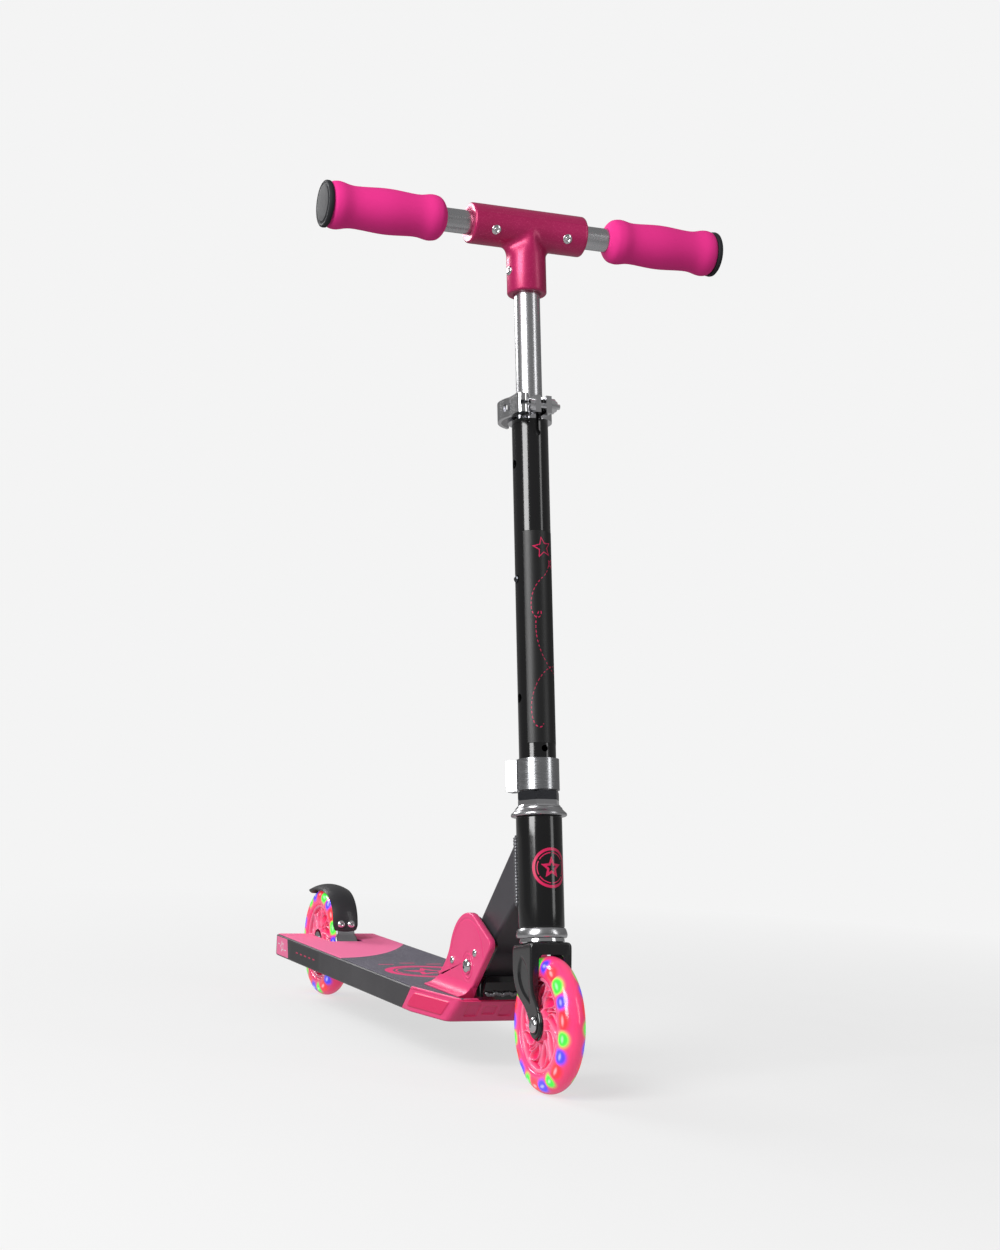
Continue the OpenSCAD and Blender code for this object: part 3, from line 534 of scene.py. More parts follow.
@dataclass(frozen=True)
class Finish:
    """One surface finish.

    color and deep are its colour and what it turns into in broad patches. spread is how much the
    roughness varies, bump the height of its fine texture in metres and grain that texture's scale.
    streaks are the scales of the brushing along x, y and z. flakes is the share of bright flakes.
    inks are drawings on it, and on the core and the bumper they are painted highlight and shade.
    tint and glow name colours that the mesh carries.
    """

    name: str
    color: Color
    roughness: float
    metallic: float = 0.0
    deep: Color | None = None
    spread: float = 0.12
    bump: float = 0.0
    grain: float = 900.0
    coat: float = 0.0
    coat_roughness: float = 0.08
    streaks: tuple[float, float, float] | None = None
    flakes: float = 0.0
    flake_color: Color = (1.0, 0.45, 0.65)
    inks: tuple[Ink, ...] = ()
    tint: str = ""
    glow: str = ""
    glow_strength: float = 0.0
    sheen: float = 0.0
    soft_light: float = 0.0
    specular: float = 0.5

    def make(self) -> bpy.types.Material:
        """The finish as a material; asked for again, the same one."""
        if self.name in bpy.data.materials:
            return bpy.data.materials[self.name]
        s = Shader(self.name)
        grain = s.group(GRAIN, {0: self.grain})
        deep = self.deep or tuple(c * 0.82 for c in self.color)
        lo, hi = PATCH_EDGES
        patch = s.node("ShaderNodeMapRange", {0: grain.outputs[1], 1: lo, 2: hi}).outputs[0]
        color = s.mix(patch, self.color, deep)
        if self.tint:
            color = s.mix(TINT_SHARE, color, s.value(self.tint).outputs["Color"])
        uneven = s.math("SUBTRACT", grain.outputs[0], 0.5)
        rough = s.math("ADD", s.math("MULTIPLY", uneven, self.spread), self.roughness)
        rough = s.math("ADD", s.math("MULTIPLY", s.math("SUBTRACT", patch, 0.5), self.spread * 0.5), rough)
        height = grain.outputs[0]
        if self.streaks:
            marks = s.group(STREAKS, dict(enumerate(self.streaks))).outputs[0]
            height = marks
            rough = s.math("ADD", s.math("MULTIPLY", s.math("SUBTRACT", marks, 0.5), STREAK_ROUGHNESS), rough)
            shade = tuple(c * 0.6 for c in self.color)
            color = s.mix(s.math("MULTIPLY", marks, STREAK_SHADE), color, shade)
        if self.flakes:
            flake = s.group(FLAKES, {0: self.grain, 1: self.flakes}).outputs[0]
            color = s.mix(s.math("MULTIPLY", flake, FLAKE_COVER), color, self.flake_color)
        for ink in self.inks:
            away = s.value(ink.value).outputs["Fac"]
            mask = s.node("ShaderNodeMapRange", {0: away, 1: ink.soft, 2: -ink.soft}).outputs[0]
            color = s.mix(mask, color, ink.color)
            rough = s.node("ShaderNodeMix", {0: mask, 2: rough, 3: ink.roughness},
                           data_type="FLOAT").outputs[0]
        inputs = {"Base Color": color, "Metallic": self.metallic, "Coat Weight": self.coat,
                  "Coat Roughness": self.coat_roughness, "Specular IOR Level": self.specular,
                  "Roughness": s.node("ShaderNodeClamp", {0: rough, 1: 0.03, 2: 1.0}).outputs[0]}
        if self.bump:
            inputs["Normal"] = s.node("ShaderNodeBump", {"Height": height, "Distance": self.bump}).outputs[0]
        if self.sheen:
            inputs |= {"Sheen Weight": self.sheen, "Sheen Roughness": 0.5,
                       "Sheen Tint": rgba(self.flake_color)}
        if self.soft_light:
            inputs |= {"Subsurface Weight": self.soft_light, "Subsurface Scale": 0.004,
                       "Subsurface Radius": (1.0, 0.25, 0.4)}
        if self.glow:
            inputs |= {"Emission Color": s.value(self.glow).outputs["Color"],
                       "Emission Strength": self.glow_strength}
        return s.finish(s.node("ShaderNodeBsdfPrincipled", inputs).outputs[0])


PLASTIC = Finish("pink plastic", Pink.PLASTIC.value, 0.36, deep=(0.78, 0.048, 0.190),
                 bump=0.00006, grain=1500.0)
SLEEVE_PAINT = Finish("metallic pink", Pink.SLEEVE.value, 0.40, metallic=0.35, deep=(0.44, 0.008, 0.095),
                      bump=0.00004, grain=2600.0, coat=0.35, coat_roughness=0.22, flakes=0.05,
                      flake_color=(0.72, 0.07, 0.22))
FOAM = Finish("foam", Pink.FOAM.value, 0.86, deep=(0.38, 0.002, 0.048), bump=0.0005, grain=1300.0, sheen=0.12,
              specular=0.25)
GLOSS_BLACK = Finish("gloss black", Gray.BLACK.value, 0.16, spread=0.06, bump=0.00003, grain=500.0, coat=0.5)
SATIN_BLACK = Finish("satin black", (0.026, 0.025, 0.029), 0.38, bump=0.00005, grain=1300.0, coat=0.2)
NECK_PAINT = Finish("satin neck", Gray.NECK.value, 0.40, bump=0.00005, grain=1200.0, coat=0.15,
                    coat_roughness=0.3)
DECK_SIDE = Finish("satin deck", Gray.DECK.value, 0.42, metallic=0.25, deep=(0.05, 0.047, 0.052),
                   bump=0.00004, grain=1600.0)
CHROME = Finish("chrome", Gray.CHROME.value, 0.12, metallic=1.0, spread=0.05, deep=(0.7, 0.71, 0.74))
CUP_CHROME = Finish("cup chrome", (0.66, 0.66, 0.68), 0.24, metallic=1.0, spread=0.05)
POLISHED = Finish("polished alloy", (0.66, 0.66, 0.68), 0.27, metallic=1.0, spread=0.06)
BRUSHED = Finish("brushed alloy", Gray.ALLOY.value, 0.24, metallic=1.0, spread=0.08,
                 streaks=(60.0, 60.0, 2600.0), bump=0.00002)
SATIN_STEEL = Finish("satin steel", Gray.STEEL.value, 0.30, metallic=1.0, bump=0.00003, grain=1100.0)
DARK_STEEL = Finish("dark steel", Gray.DARK_STEEL.value, 0.28, metallic=1.0, spread=0.16,
                    deep=(0.07, 0.072, 0.08))
BLACK_PLASTIC = Finish("black plastic", Gray.MATT_BLACK.value, 0.34, bump=0.00005, grain=1400.0)
CAP_PLASTIC = Finish("cap plastic", (0.022, 0.023, 0.026), 0.62, spread=0.05, bump=0.00003, grain=1400.0,
                     specular=0.15)
NYLON = Finish("nylon", Gray.NYLON.value, 0.5)
WELD = Finish("weld", (0.13, 0.13, 0.14), 0.26, metallic=0.5, bump=0.0002, grain=700.0, coat=0.4)


def paint(thing: Thing, finish: Finish) -> Thing:
    """Gives the object that finish."""
    thing.data.materials.clear()
    thing.data.materials.append(finish.make())
    return thing


def soften(thing: Thing, width: float) -> None:
    """Rounds an object's sharp edges by that width in millimetres."""
    made = thing.modifiers.new("edges", "BEVEL")
    made.width, made.segments, made.limit_method = width / 1000.0, 2, "ANGLE"
    made.angle_limit = np.radians(38)
    made.use_clamp_overlap = True
    thing.data.shade_smooth()
    thing.modifiers.new("smooth", "WEIGHTED_NORMAL").keep_sharp = True


def thicken(thing: Thing, by: float, even: bool = True) -> None:
    """Gives a skin that thickness in millimetres, away from the side it faces."""
    made = thing.modifiers.new("thickness", "SOLIDIFY")
    made.thickness, made.offset, made.use_even_offset = by / 1000.0, -1.0, even


def node(name: str, finish: Finish, edge: float = 0.0) -> None:
    """A CAD piece that stays, with a finish and softened edges."""
    thing = paint(frame["nodes"][name], finish)
    if edge:
        soften(thing, edge)
    log.info("kept %s in %s", name, finish.name)


def add(thing: Thing, body: str, finish: Finish, slot: str, *stands_for: str) -> Thing:
    """Puts a finished piece on its body, for the CAD nodes it stands for."""
    paint(thing, finish)
    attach(thing, body)
    if stands_for:
        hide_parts(*stands_for)
    log.info("made %s on %s with %d points", thing.name, body, len(thing.data.vertices))
    return thing


# ---------- wheels ----------
@dataclass(frozen=True)
class Wheel:
    """A light-up wheel: a clear tyre with three colours of light, and a core of swirling petals."""

    name: str
    body: str
    place: Placement
    radius: float = 60.0
    core_radius: float = 42.0
    half: float = 11.85
    hub: float = 14.0
    bearing: float = 11.0
    tread: float = 11.0
    light_row: float = 68.0
    petals: int = 9
    lights: int = 21
    phase: float = 0.0
    colors: tuple[Color, ...] = ((0.02, 0.95, 0.05), (0.05, 0.06, 1.0), (1.0, 0.03, 0.04))

    def build(self) -> None:
        """Both pieces of the wheel, and the finish of its small CAD parts."""
        self.tyre()
        self.core()
        node(f"{self.name}_bearings", SATIN_STEEL, 0.4)
        node(f"{self.name}_led_units", NYLON)

    def tyre(self) -> None:
        """The tyre is a turned profile: a flat seat, short sides and a half ellipse for the tread.

        Each light is a soft spot, long round the tyre and short across it, on one of two rows at the
        shoulders. Where spots fade, the clear pink shows, with a painted pink glow over it.
        """
        phi = np.radians(np.linspace(-90, 90, 37))
        bulge = self.radius - self.tread
        tread = np.stack([self.half * np.sin(phi), bulge + self.tread * np.cos(phi)], -1)
        side = [(self.half - 1.5, self.core_radius), (self.half - 0.5, self.core_radius + 1.2),
                (self.half - 0.2, self.core_radius + 3.0)]
        profile = np.array([(-x, r) for x, r in side] + tread.tolist() + side[::-1])
        turns = 300
        sheet = lathe(self.place, 0, profile, turns)
        sheet.close_rows = True
        around = np.linspace(0, 2 * np.pi, turns, endpoint=False)[None, :] + self.phase
        outwards = (profile[:, 1] - bulge) / self.tread
        across = np.degrees(np.arctan2(profile[:, 0] / self.half, outwards))[:, None]
        step = 2 * np.pi / self.lights
        weight = np.zeros((len(profile), turns))
        hot = np.zeros_like(weight)
        color = np.zeros((len(profile), turns, 3))
        for side_of, shift in ((-1, 0.0), (1, 0.55)):
            turn = around / step + shift
            number = np.floor(turn).astype(int) % self.lights
            off = (turn % 1.0 - 0.5) * step * 55.0
            rise = (across - side_of * self.light_row) / 90.0 * 17.0
            jitter = 1.0 + 0.25 * np.sin(number * 2.4)
            spot = np.exp(-((off / (7.4 * jitter)) ** 2) - (rise / 6.0) ** 2)
            core = np.exp(-((off / (5.0 * jitter)) ** 2) - (rise / 1.9) ** 2)
            shade = np.array(self.colors)[number % 3]
            color += spot[..., None] * shade
            weight += spot
            hot += core
        color /= np.maximum(weight, 1e-6)[..., None]
        amount = smooth(weight, 0.06, 0.62)[..., None]
        tint = color * amount + np.array([0.96, 0.055, 0.200]) * (1 - amount)
        glow = color * amount * 0.9 + smooth(hot, 0.30, 1.0)[..., None] * np.array([0.75, 0.75, 0.8])
        # painted glow: where the light spots fade, the clear tyre still glows pink, lit by no lamp
        glow += (1 - amount) * np.array([0.55, 0.030, 0.110])
        sheet.values = {"tint": tint, "glow": glow}
        piece = build(f"{self.name}_tyre_skin", [sheet])
        add(piece, self.body, TYRE, "tyre", f"{self.name}_tyre")

    def petal(self, psi: Array, r: Array, start: float, end: float, wide: float, lean: float) -> Array:
        """How near each point is to one petal's outline, 1 on it; the petal is narrow at the hub."""
        t = np.clip((r - start) / (end - start), 0, 1)
        width = wide * np.sin(np.pi * t**1.35) ** 0.75
        width = np.where((r > start) & (r < end), width, 0.0)
        away = np.abs(np.abs(psi * r - lean * t * 3.0) - width)
        beyond = np.maximum(np.maximum(start - r, r - end), 0)
        return np.exp(-((np.hypot(away, beyond) / 1.05) ** 2))

    def core(self) -> None:
        """The core is one height over each face: a hub ring, a sunken web with raised petals, and a rim.

        Known fault: inside the hub radius the swirl takes a power of a negative number, so the heights of
        those points have no value and their faces are stray.
        """
        r = np.concatenate([np.linspace(self.bearing, 15.5, 10), np.linspace(16, 38, 56),
                            np.linspace(38.4, self.core_radius, 9)])
        turns = 504
        theta = np.linspace(0, 2 * np.pi, turns, endpoint=False)
        rr, tt = np.meshgrid(r, theta, indexing="ij")
        grids, lights = [], []
        for side in (-1, 1):
            swirl = side * 0.62 * ((rr - self.hub) / 28.0) ** 1.25
            period = 2 * np.pi / self.petals
            psi = (tt + swirl + self.phase) % period - period / 2
            other = (tt + swirl + self.phase + period / 2) % period - period / 2
            big = self.petal(psi, rr, 15.0, 38.0, 6.4, 0.4)
            slim = self.petal(other, rr, 17.5, 35.0, 2.0, -0.5)
            ridge = np.maximum(big, 0.85 * slim)
            inside = smooth(4.6 - np.abs(psi * rr), 0, 1.5) * smooth(rr, 26, 30) * smooth(37.0 - rr, 0, 2)
            web = 3.6 + 1.2 * np.cos((rr - 16) / 22 * np.pi) ** 2
            rim = smooth(rr, 37.2, 38.8)
            hub = 1 - smooth(rr, self.hub + 0.2, self.hub + 1.6)
            height = web + (9.4 - web) * ridge * 0.92 - inside * 0.5
            height = height * (1 - rim) + 9.9 * rim
            height = height * (1 - hub) + 11.7 * hub
            edge = smooth(rr, 41.2, 42.0) + (1 - smooth(rr, 11.0, 11.7)) * 0.4
            height = height - edge
            grids.append(np.stack([side * height, rr * np.cos(tt), rr * np.sin(tt)], -1))
            # painted highlight: the raised petals, the rim and the hub get a lighter pink, as if lit
            lights.append(np.clip(np.maximum(ridge * 1.15, np.maximum(rim * 0.85, hub * 0.7)), 0, 1))
        grid = np.concatenate([grids[0][::-1], grids[1]])
        light = np.concatenate([lights[0][::-1], lights[1]])
        sheet = Sheet(self.place.out(grid), close_rows=True, close_cols=True, values={"light": 0.5 - light})
        piece = build(f"{self.name}_core_face", [sheet])
        add(piece, self.body, CORE_PLASTIC, "pink_plastic", f"{self.name}_core")


# the ink named light paints a highlight on the core's raised parts
CORE_PLASTIC = Finish("core plastic", Pink.CORE.value, 0.30, deep=(0.92, 0.018, 0.15), bump=0.00004,
                      coat=0.3, inks=(Ink("light", Pink.CORE_PAINTED_HIGHLIGHT.value, 0.28, 0.45),), soft_light=0.1)
TYRE = Finish("clear tyre", (0.95, 0.05, 0.20), 0.20, spread=0.08, bump=0.00003, grain=500.0, coat=0.6,
              coat_roughness=0.1, tint="tint", glow="glow", glow_strength=0.62, soft_light=0.25)


# ---------- fork ----------
@dataclass(frozen=True)
class Fork:
    """A pressed steel fork: one strap bent over the wheel, its front edge folded in."""

    leg_out: float = 20.0
    foot_out: float = 14.9
    crown: float = 71.6
    gauge: float = 2.4
    corner: float = 5.0
    offset: float = 12.0
    foot_radius: float = 12.0
    flange: float = 7.6

    def build(self) -> None:
        """The strap as a section carried along its path, and the finish of the small parts."""
        path, inner = self.path()
        into = -left_of(path)
        s = path[:, 1]
        front, rear = self.edges(s)
        top = smooth(s, 52, 66)
        lip = np.minimum((rear - front) * 0.45, 2.2)
        rolled = path + into * lip[:, None]
        places, y = [], []
        for t in (1.0, 0.66, 0.33):
            places.append(inner * t + rolled * (1 - t))
            y.append(front)
        quarter = np.radians([0, 22, 45, 67, 90])
        for a in quarter:
            places.append(path + into * (lip * (1 - np.sin(a)))[:, None])
            y.append(front + lip * (1 - np.cos(a)))
        for t in np.linspace(0.04, 0.96, 30):
            across = front + lip + (rear - front - 2 * lip) * t
            places.append(path + into * (self.dent(across, s) * (1 - top))[:, None])
            y.append(across)
        for a in quarter[::-1]:
            places.append(path + into * (lip * (1 - np.sin(a)))[:, None])
            y.append(rear - lip * (1 - np.cos(a)))
        flat = np.stack(places, 1)
        grid = np.stack([flat[..., 0], np.stack(y, 1), flat[..., 1]], -1)
        strap = build("fork_strap", [Sheet(COLUMN.out(grid), inside=COLUMN.out([0, 0, 30]))])
        thicken(strap, self.gauge, even=False)
        soften(strap, 0.5)
        add(strap, "fork", FORK_PAINT, "black_steel", "fork")
        for name, finish in (("front_axle_bolt", CHROME), ("front_axle_nut", CHROME),
                             ("steerer_tube", SATIN_STEEL), ("crown_race", CHROME),
                             ("headset_bearings", SATIN_STEEL), ("front_axle_spacer", SATIN_STEEL),
                             ("front_axle_washers", BLACK_PLASTIC)):
            node(name, finish, 0.0 if name in ("front_axle_bolt", "headset_bearings") else 0.3)

    def path(self) -> tuple[Array, Array]:
        """The strap's outer face seen from the front, and its flange's inner edge, foot to foot.

        Both lines have their points closest together at the round feet.
        """
        foot, leg, top, fold = self.foot_out, self.leg_out, self.crown, self.flange
        outer = [(-foot, -12.0, 0), (-foot, 15, 6), (-leg + 0.6, 27, 6), (-leg, 40, 4),
                 (-leg, top, self.corner)]
        inner = [(-foot + 2.0, -12.0, 0), (-foot + 2.0, 14, 5), (-leg + fold - 1, 31, 5),
                 (-leg + fold, 40, 4), (-leg + fold, top - 11.0, 5.0)]
        lines = [rounded(half + [(-x, y, r) for x, y, r in half[::-1]], 10, closed=False)
                 for half in (outer, inner)]
        length = lengths(lines[0])
        at = length[-1] * (0.5 - 0.5 * np.cos(np.linspace(0, np.pi, 240)))
        made = [np.stack([np.interp(at, length, line[:, k]) for k in range(2)], -1) for line in lines]
        return made[0], made[1]

    def edges(self, s: Array) -> tuple[Array, Array]:
        """The strap's front and rear edge at each height: wide at the crown, a half circle round the axle."""
        knots = [-12, 0, 8, 16, 26, 38, 50, 62, 72]
        front = np.interp(s, knots, [-19, -24, -22.2, -20.2, -19.3, -19.4, -20.2, -21.2, -21.6])
        rear = np.interp(s, knots, [-5, 0, 2.6, 7.6, 14.0, 19.6, 22.2, 21.9, 21.5])
        low = s < 1.0
        drop = np.sqrt(np.maximum(self.foot_radius**2 - np.minimum(s, 0) ** 2, 0.8))
        mix = smooth(s, -1.0, 9.0)
        middle, radius = -self.offset, self.foot_radius
        front = np.where(low, middle - drop, front * mix + (middle - radius) * (1 - mix))
        rear = np.where(low, middle + drop, rear * mix + (middle + radius) * (1 - mix))
        return front, rear

    def dent(self, y: Array, s: Array) -> Array:
        """The depth of the drop-shaped pressing in each leg's side: round above, pointed below."""
        t = np.clip((s - 18.0) / 42.0, 0, 1)
        mid = -8.0 + 9.0 * t
        width = 11.5 * np.sin(np.pi * t**1.25) ** 0.8
        away = np.abs(y - mid) - np.where((s > 18) & (s < 60), width, -3.0)
        return 1.6 * smooth(-away, -0.2, 2.2)


FORK_PAINT = Finish("fork paint", (0.008, 0.008, 0.009), 0.24, spread=0.08, bump=0.00003, grain=500.0,
                    coat=0.5)


# ---------- neck and headset ----------
@dataclass(frozen=True)
class Neck:
    """The welded neck, the head tube with its emblem, and the headset's parts."""

    half: float = 20.0
    edge: float = 3.4
    pivot: tuple[float, float] = (123.0, 96.0)
    heel: float = 14.5
    tube_radius: float = 20.7
    tube_s: tuple[float, float] = (84.4, 184.1)
    emblem_s: float = 137.0
    emblem_radius: float = 18.0
    emblem_turn: float = 6.0

    def build(self) -> None:
        """All pieces of the neck and the headset."""
        self.box()
        self.tube()
        self.emblem()
        self.welds()
        for name, finish in (("headset_cup_upper", CUP_CHROME), ("headset_cup_lower", CUP_CHROME),
                             ("adjusting_nut", CHROME), ("lock_nut", DARK_STEEL), ("pivot_bushes", NYLON)):
            node(name, finish, 0.0 if "cup" in name else 0.4)

    def box(self) -> None:
        """The neck is its side outline drawn across, with round edges."""
        arc = np.radians(np.linspace(10, -150, 15))
        (b, z), r = self.pivot, self.heel
        corner = [(b + r * np.cos(a), z + r * np.sin(a), 0.0) for a in arc]
        outline = rounded([(40.5, 225.8, 0), (127, 135, 12), *corner, (105, 108, 6), (36.5, 166.5, 0)])
        sheet = slab(GROUND, resample(outline, 220, closed=True), -self.half, self.half, self.edge, (2, 0, 1))
        add(build("neck_box", [sheet]), "neck", NECK_PAINT, "black_steel", "neck")

    def tube(self) -> None:
        """The head tube is turned, with a round edge that catches the light at each end."""
        lo, hi = self.tube_s
        r = self.tube_radius
        bend = np.radians(np.linspace(0, 90, 7))
        foot = [(lo + 1.6 * (1 - np.sin(a)), r - 1.6 * (1 - np.cos(a))) for a in bend[::-1]]
        head = [(hi - 1.6 * (1 - np.sin(a)), r - 1.6 * (1 - np.cos(a))) for a in bend]
        profile = [(lo, 17.0), *foot, (lo + 20, r), (hi - 20, r), *head, (hi, 17.0)]
        sheet = lathe(COLUMN, 2, np.array(profile), 128)
        sheet.close_rows = True
        add(build("head_tube_skin", [sheet]), "neck", GLOSS_BLACK, "black_steel", "head_tube")

    def emblem(self) -> None:
        """A printed star in two rings on the front of the head tube."""
        reach = self.emblem_radius + 1.5
        a, s = np.meshgrid(np.linspace(-reach, reach, 96), np.linspace(-reach, reach, 96), indexing="ij")
        rho = np.hypot(a, s)
        outer = np.abs(rho - self.emblem_radius + 1.4) - 1.25
        gaps = np.abs(((np.arctan2(a, s) + np.pi / 6) % (np.pi / 3)) - np.pi / 6) * rho - 0.9
        inner = np.maximum(np.abs(rho - self.emblem_radius + 4.6) - 0.45, -gaps)
        star = star_distance(a, s, 10.4, 4.7)
        hollow = -star_distance(a, s, 5.0, 2.3)
        printed = np.minimum(np.minimum(outer, inner), np.maximum(star, hollow))
        around = a / self.tube_radius + np.radians(self.emblem_turn)
        r = self.tube_radius + 0.06
        grid = np.stack([r * np.sin(around), -r * np.cos(around), s + self.emblem_s], -1)
        sheet = Sheet(COLUMN.out(grid), inside=COLUMN.out([0, 0, self.emblem_s]), values={"print": printed})
        add(build("head_tube_emblem", [sheet]), "neck", EMBLEM, "black_steel")

    def welds(self) -> None:
        """Beads of overlapping scales where the neck meets the head tube and the bracket."""
        sheets = []
        for side in (-1, 1):
            line = np.stack([np.full(90, side * 19.6), np.full(90, 8.2), np.linspace(104, 168, 90)], -1)
            sheets.append(bead(COLUMN, line, 2.3, 2.9))
        add(build("neck_welds", sheets), "neck", WELD, "black_steel")
        x = np.linspace(-20, 20, 80)
        wander = 0.7 * np.sin(x * 0.55) + 0.4 * np.sin(x * 1.3 + 1)
        line = np.stack([x, 103.2 - 0.2 * wander, 72.6 + wander], -1)
        add(build("bracket_weld", [bead(GROUND, line, 1.7, 2.6)]), "deck", WELD, "black_steel")


def bead(place: Placement, line: Array, radius: float, pitch: float) -> Sheet:
    """A weld bead along a line: a round section whose size rises and falls once in each pitch."""
    step, length = unit(np.gradient(line, axis=0)), lengths(line)
    side = unit(np.cross(step, [0.29, 0.91, 0.31]))
    other = np.cross(step, side)
    angle = np.linspace(0, 2 * np.pi, 14, endpoint=False)
    ends = np.minimum(1, 0.2 + np.minimum(length, length[-1] - length) / radius)
    swell = radius * (0.8 + 0.28 * (1 - (length / pitch) % 1.0)) * ends
    ring = np.cos(angle)[None, :, None] * side[:, None] + np.sin(angle)[None, :, None] * other[:, None]
    grid = line[:, None] + swell[:, None, None] * ring
    return Sheet(place.out(grid), close_cols=True, caps=(True, True))


EMBLEM = Finish("emblem print", Gray.BLACK.value, 0.16, spread=0.06, coat=0.5,
                inks=(Ink("print", Pink.INK.value, 0.4),))


# ---------- column ----------
@dataclass(frozen=True)
class Column:
    """The telescopic column: black outer tube with its printed wrap, clamps and the plated inner tube."""

    radius: float = 16.75
    wrap_s: tuple[float, float] = (249.0, 444.0)
    wrap_turn: tuple[float, float] = (-55.0, 118.0)

    def build(self) -> None:
        """The wrap, and the finish of the tubes and clamps."""
        node("column_tube", GLOSS_BLACK, 0.5)
        node("inner_tube", POLISHED)
        node("guide_bush", BLACK_PLASTIC)
        node("column_clamp", BRUSHED, 0.7)
        node("column_clamp_bolts", CHROME)
        for name in ("quick_release_collar", "clamp_lever", "clamp_nut", "clamp_bolt"):
            node(name, CHROME, 0.9 if name in ("quick_release_collar", "clamp_lever") else 0.4)
        node("clamp_lever_pin", DARK_STEEL, 0.4)
        node("lock_button", DARK_STEEL)
        self.wrap()

    def trail(self) -> Array:
        """The dashed trail's line, in millimetres round and up: it wanders, loops and comes back."""
        t = np.linspace(0, 1, 420)
        grow = smooth(t, 0.05, 0.3)
        s = 416 - 150 * t + 13.0 * np.sin(2 * np.pi * 3.0 * t) * grow
        a = 17 + 10.0 * np.cos(2 * np.pi * 1.5 * t + 0.3) + 8.0 * np.cos(2 * np.pi * 3.0 * t) * grow
        return np.stack([a, s], -1)

    def wrap(self) -> None:
        """A matt skin on the tube's front, with a pink star at the top of a dashed trail."""
        lo, hi = np.radians(self.wrap_turn)
        wide = (hi - lo) * self.radius
        a, s = np.meshgrid(np.linspace(0, wide, 92), np.linspace(*self.wrap_s, 330), indexing="ij")
        away, length = line_distance(a, s, self.trail(), 0.42)
        dash = np.abs(length % 4.4 - 1.4) - 1.4
        trail = np.maximum(away, dash)
        star = np.abs(star_distance(a - 19, s - 428, 9.5, 4.2, 0.2)) - 0.42
        small = np.abs(star_distance(a - 29, s - 414, 4.2, 1.9, -0.3)) - 0.4
        printed = np.minimum(np.minimum(trail, star), small)
        around = a / self.radius + lo
        r = self.radius + 0.12
        grid = np.stack([r * np.sin(around), -r * np.cos(around), s], -1)
        sheet = Sheet(COLUMN.out(grid), inside=COLUMN.out([0, 0, 340]), values={"print": printed})
        piece = build("column_wrap", [sheet])
        thicken(piece, 0.1)
        add(piece, "fork", WRAP, "black_steel")


WRAP = Finish("column wrap", (0.0075, 0.0075, 0.008), 0.42, spread=0.08, bump=0.00002, grain=1500.0,
              inks=(Ink("print", Pink.INK.value, 0.45),))


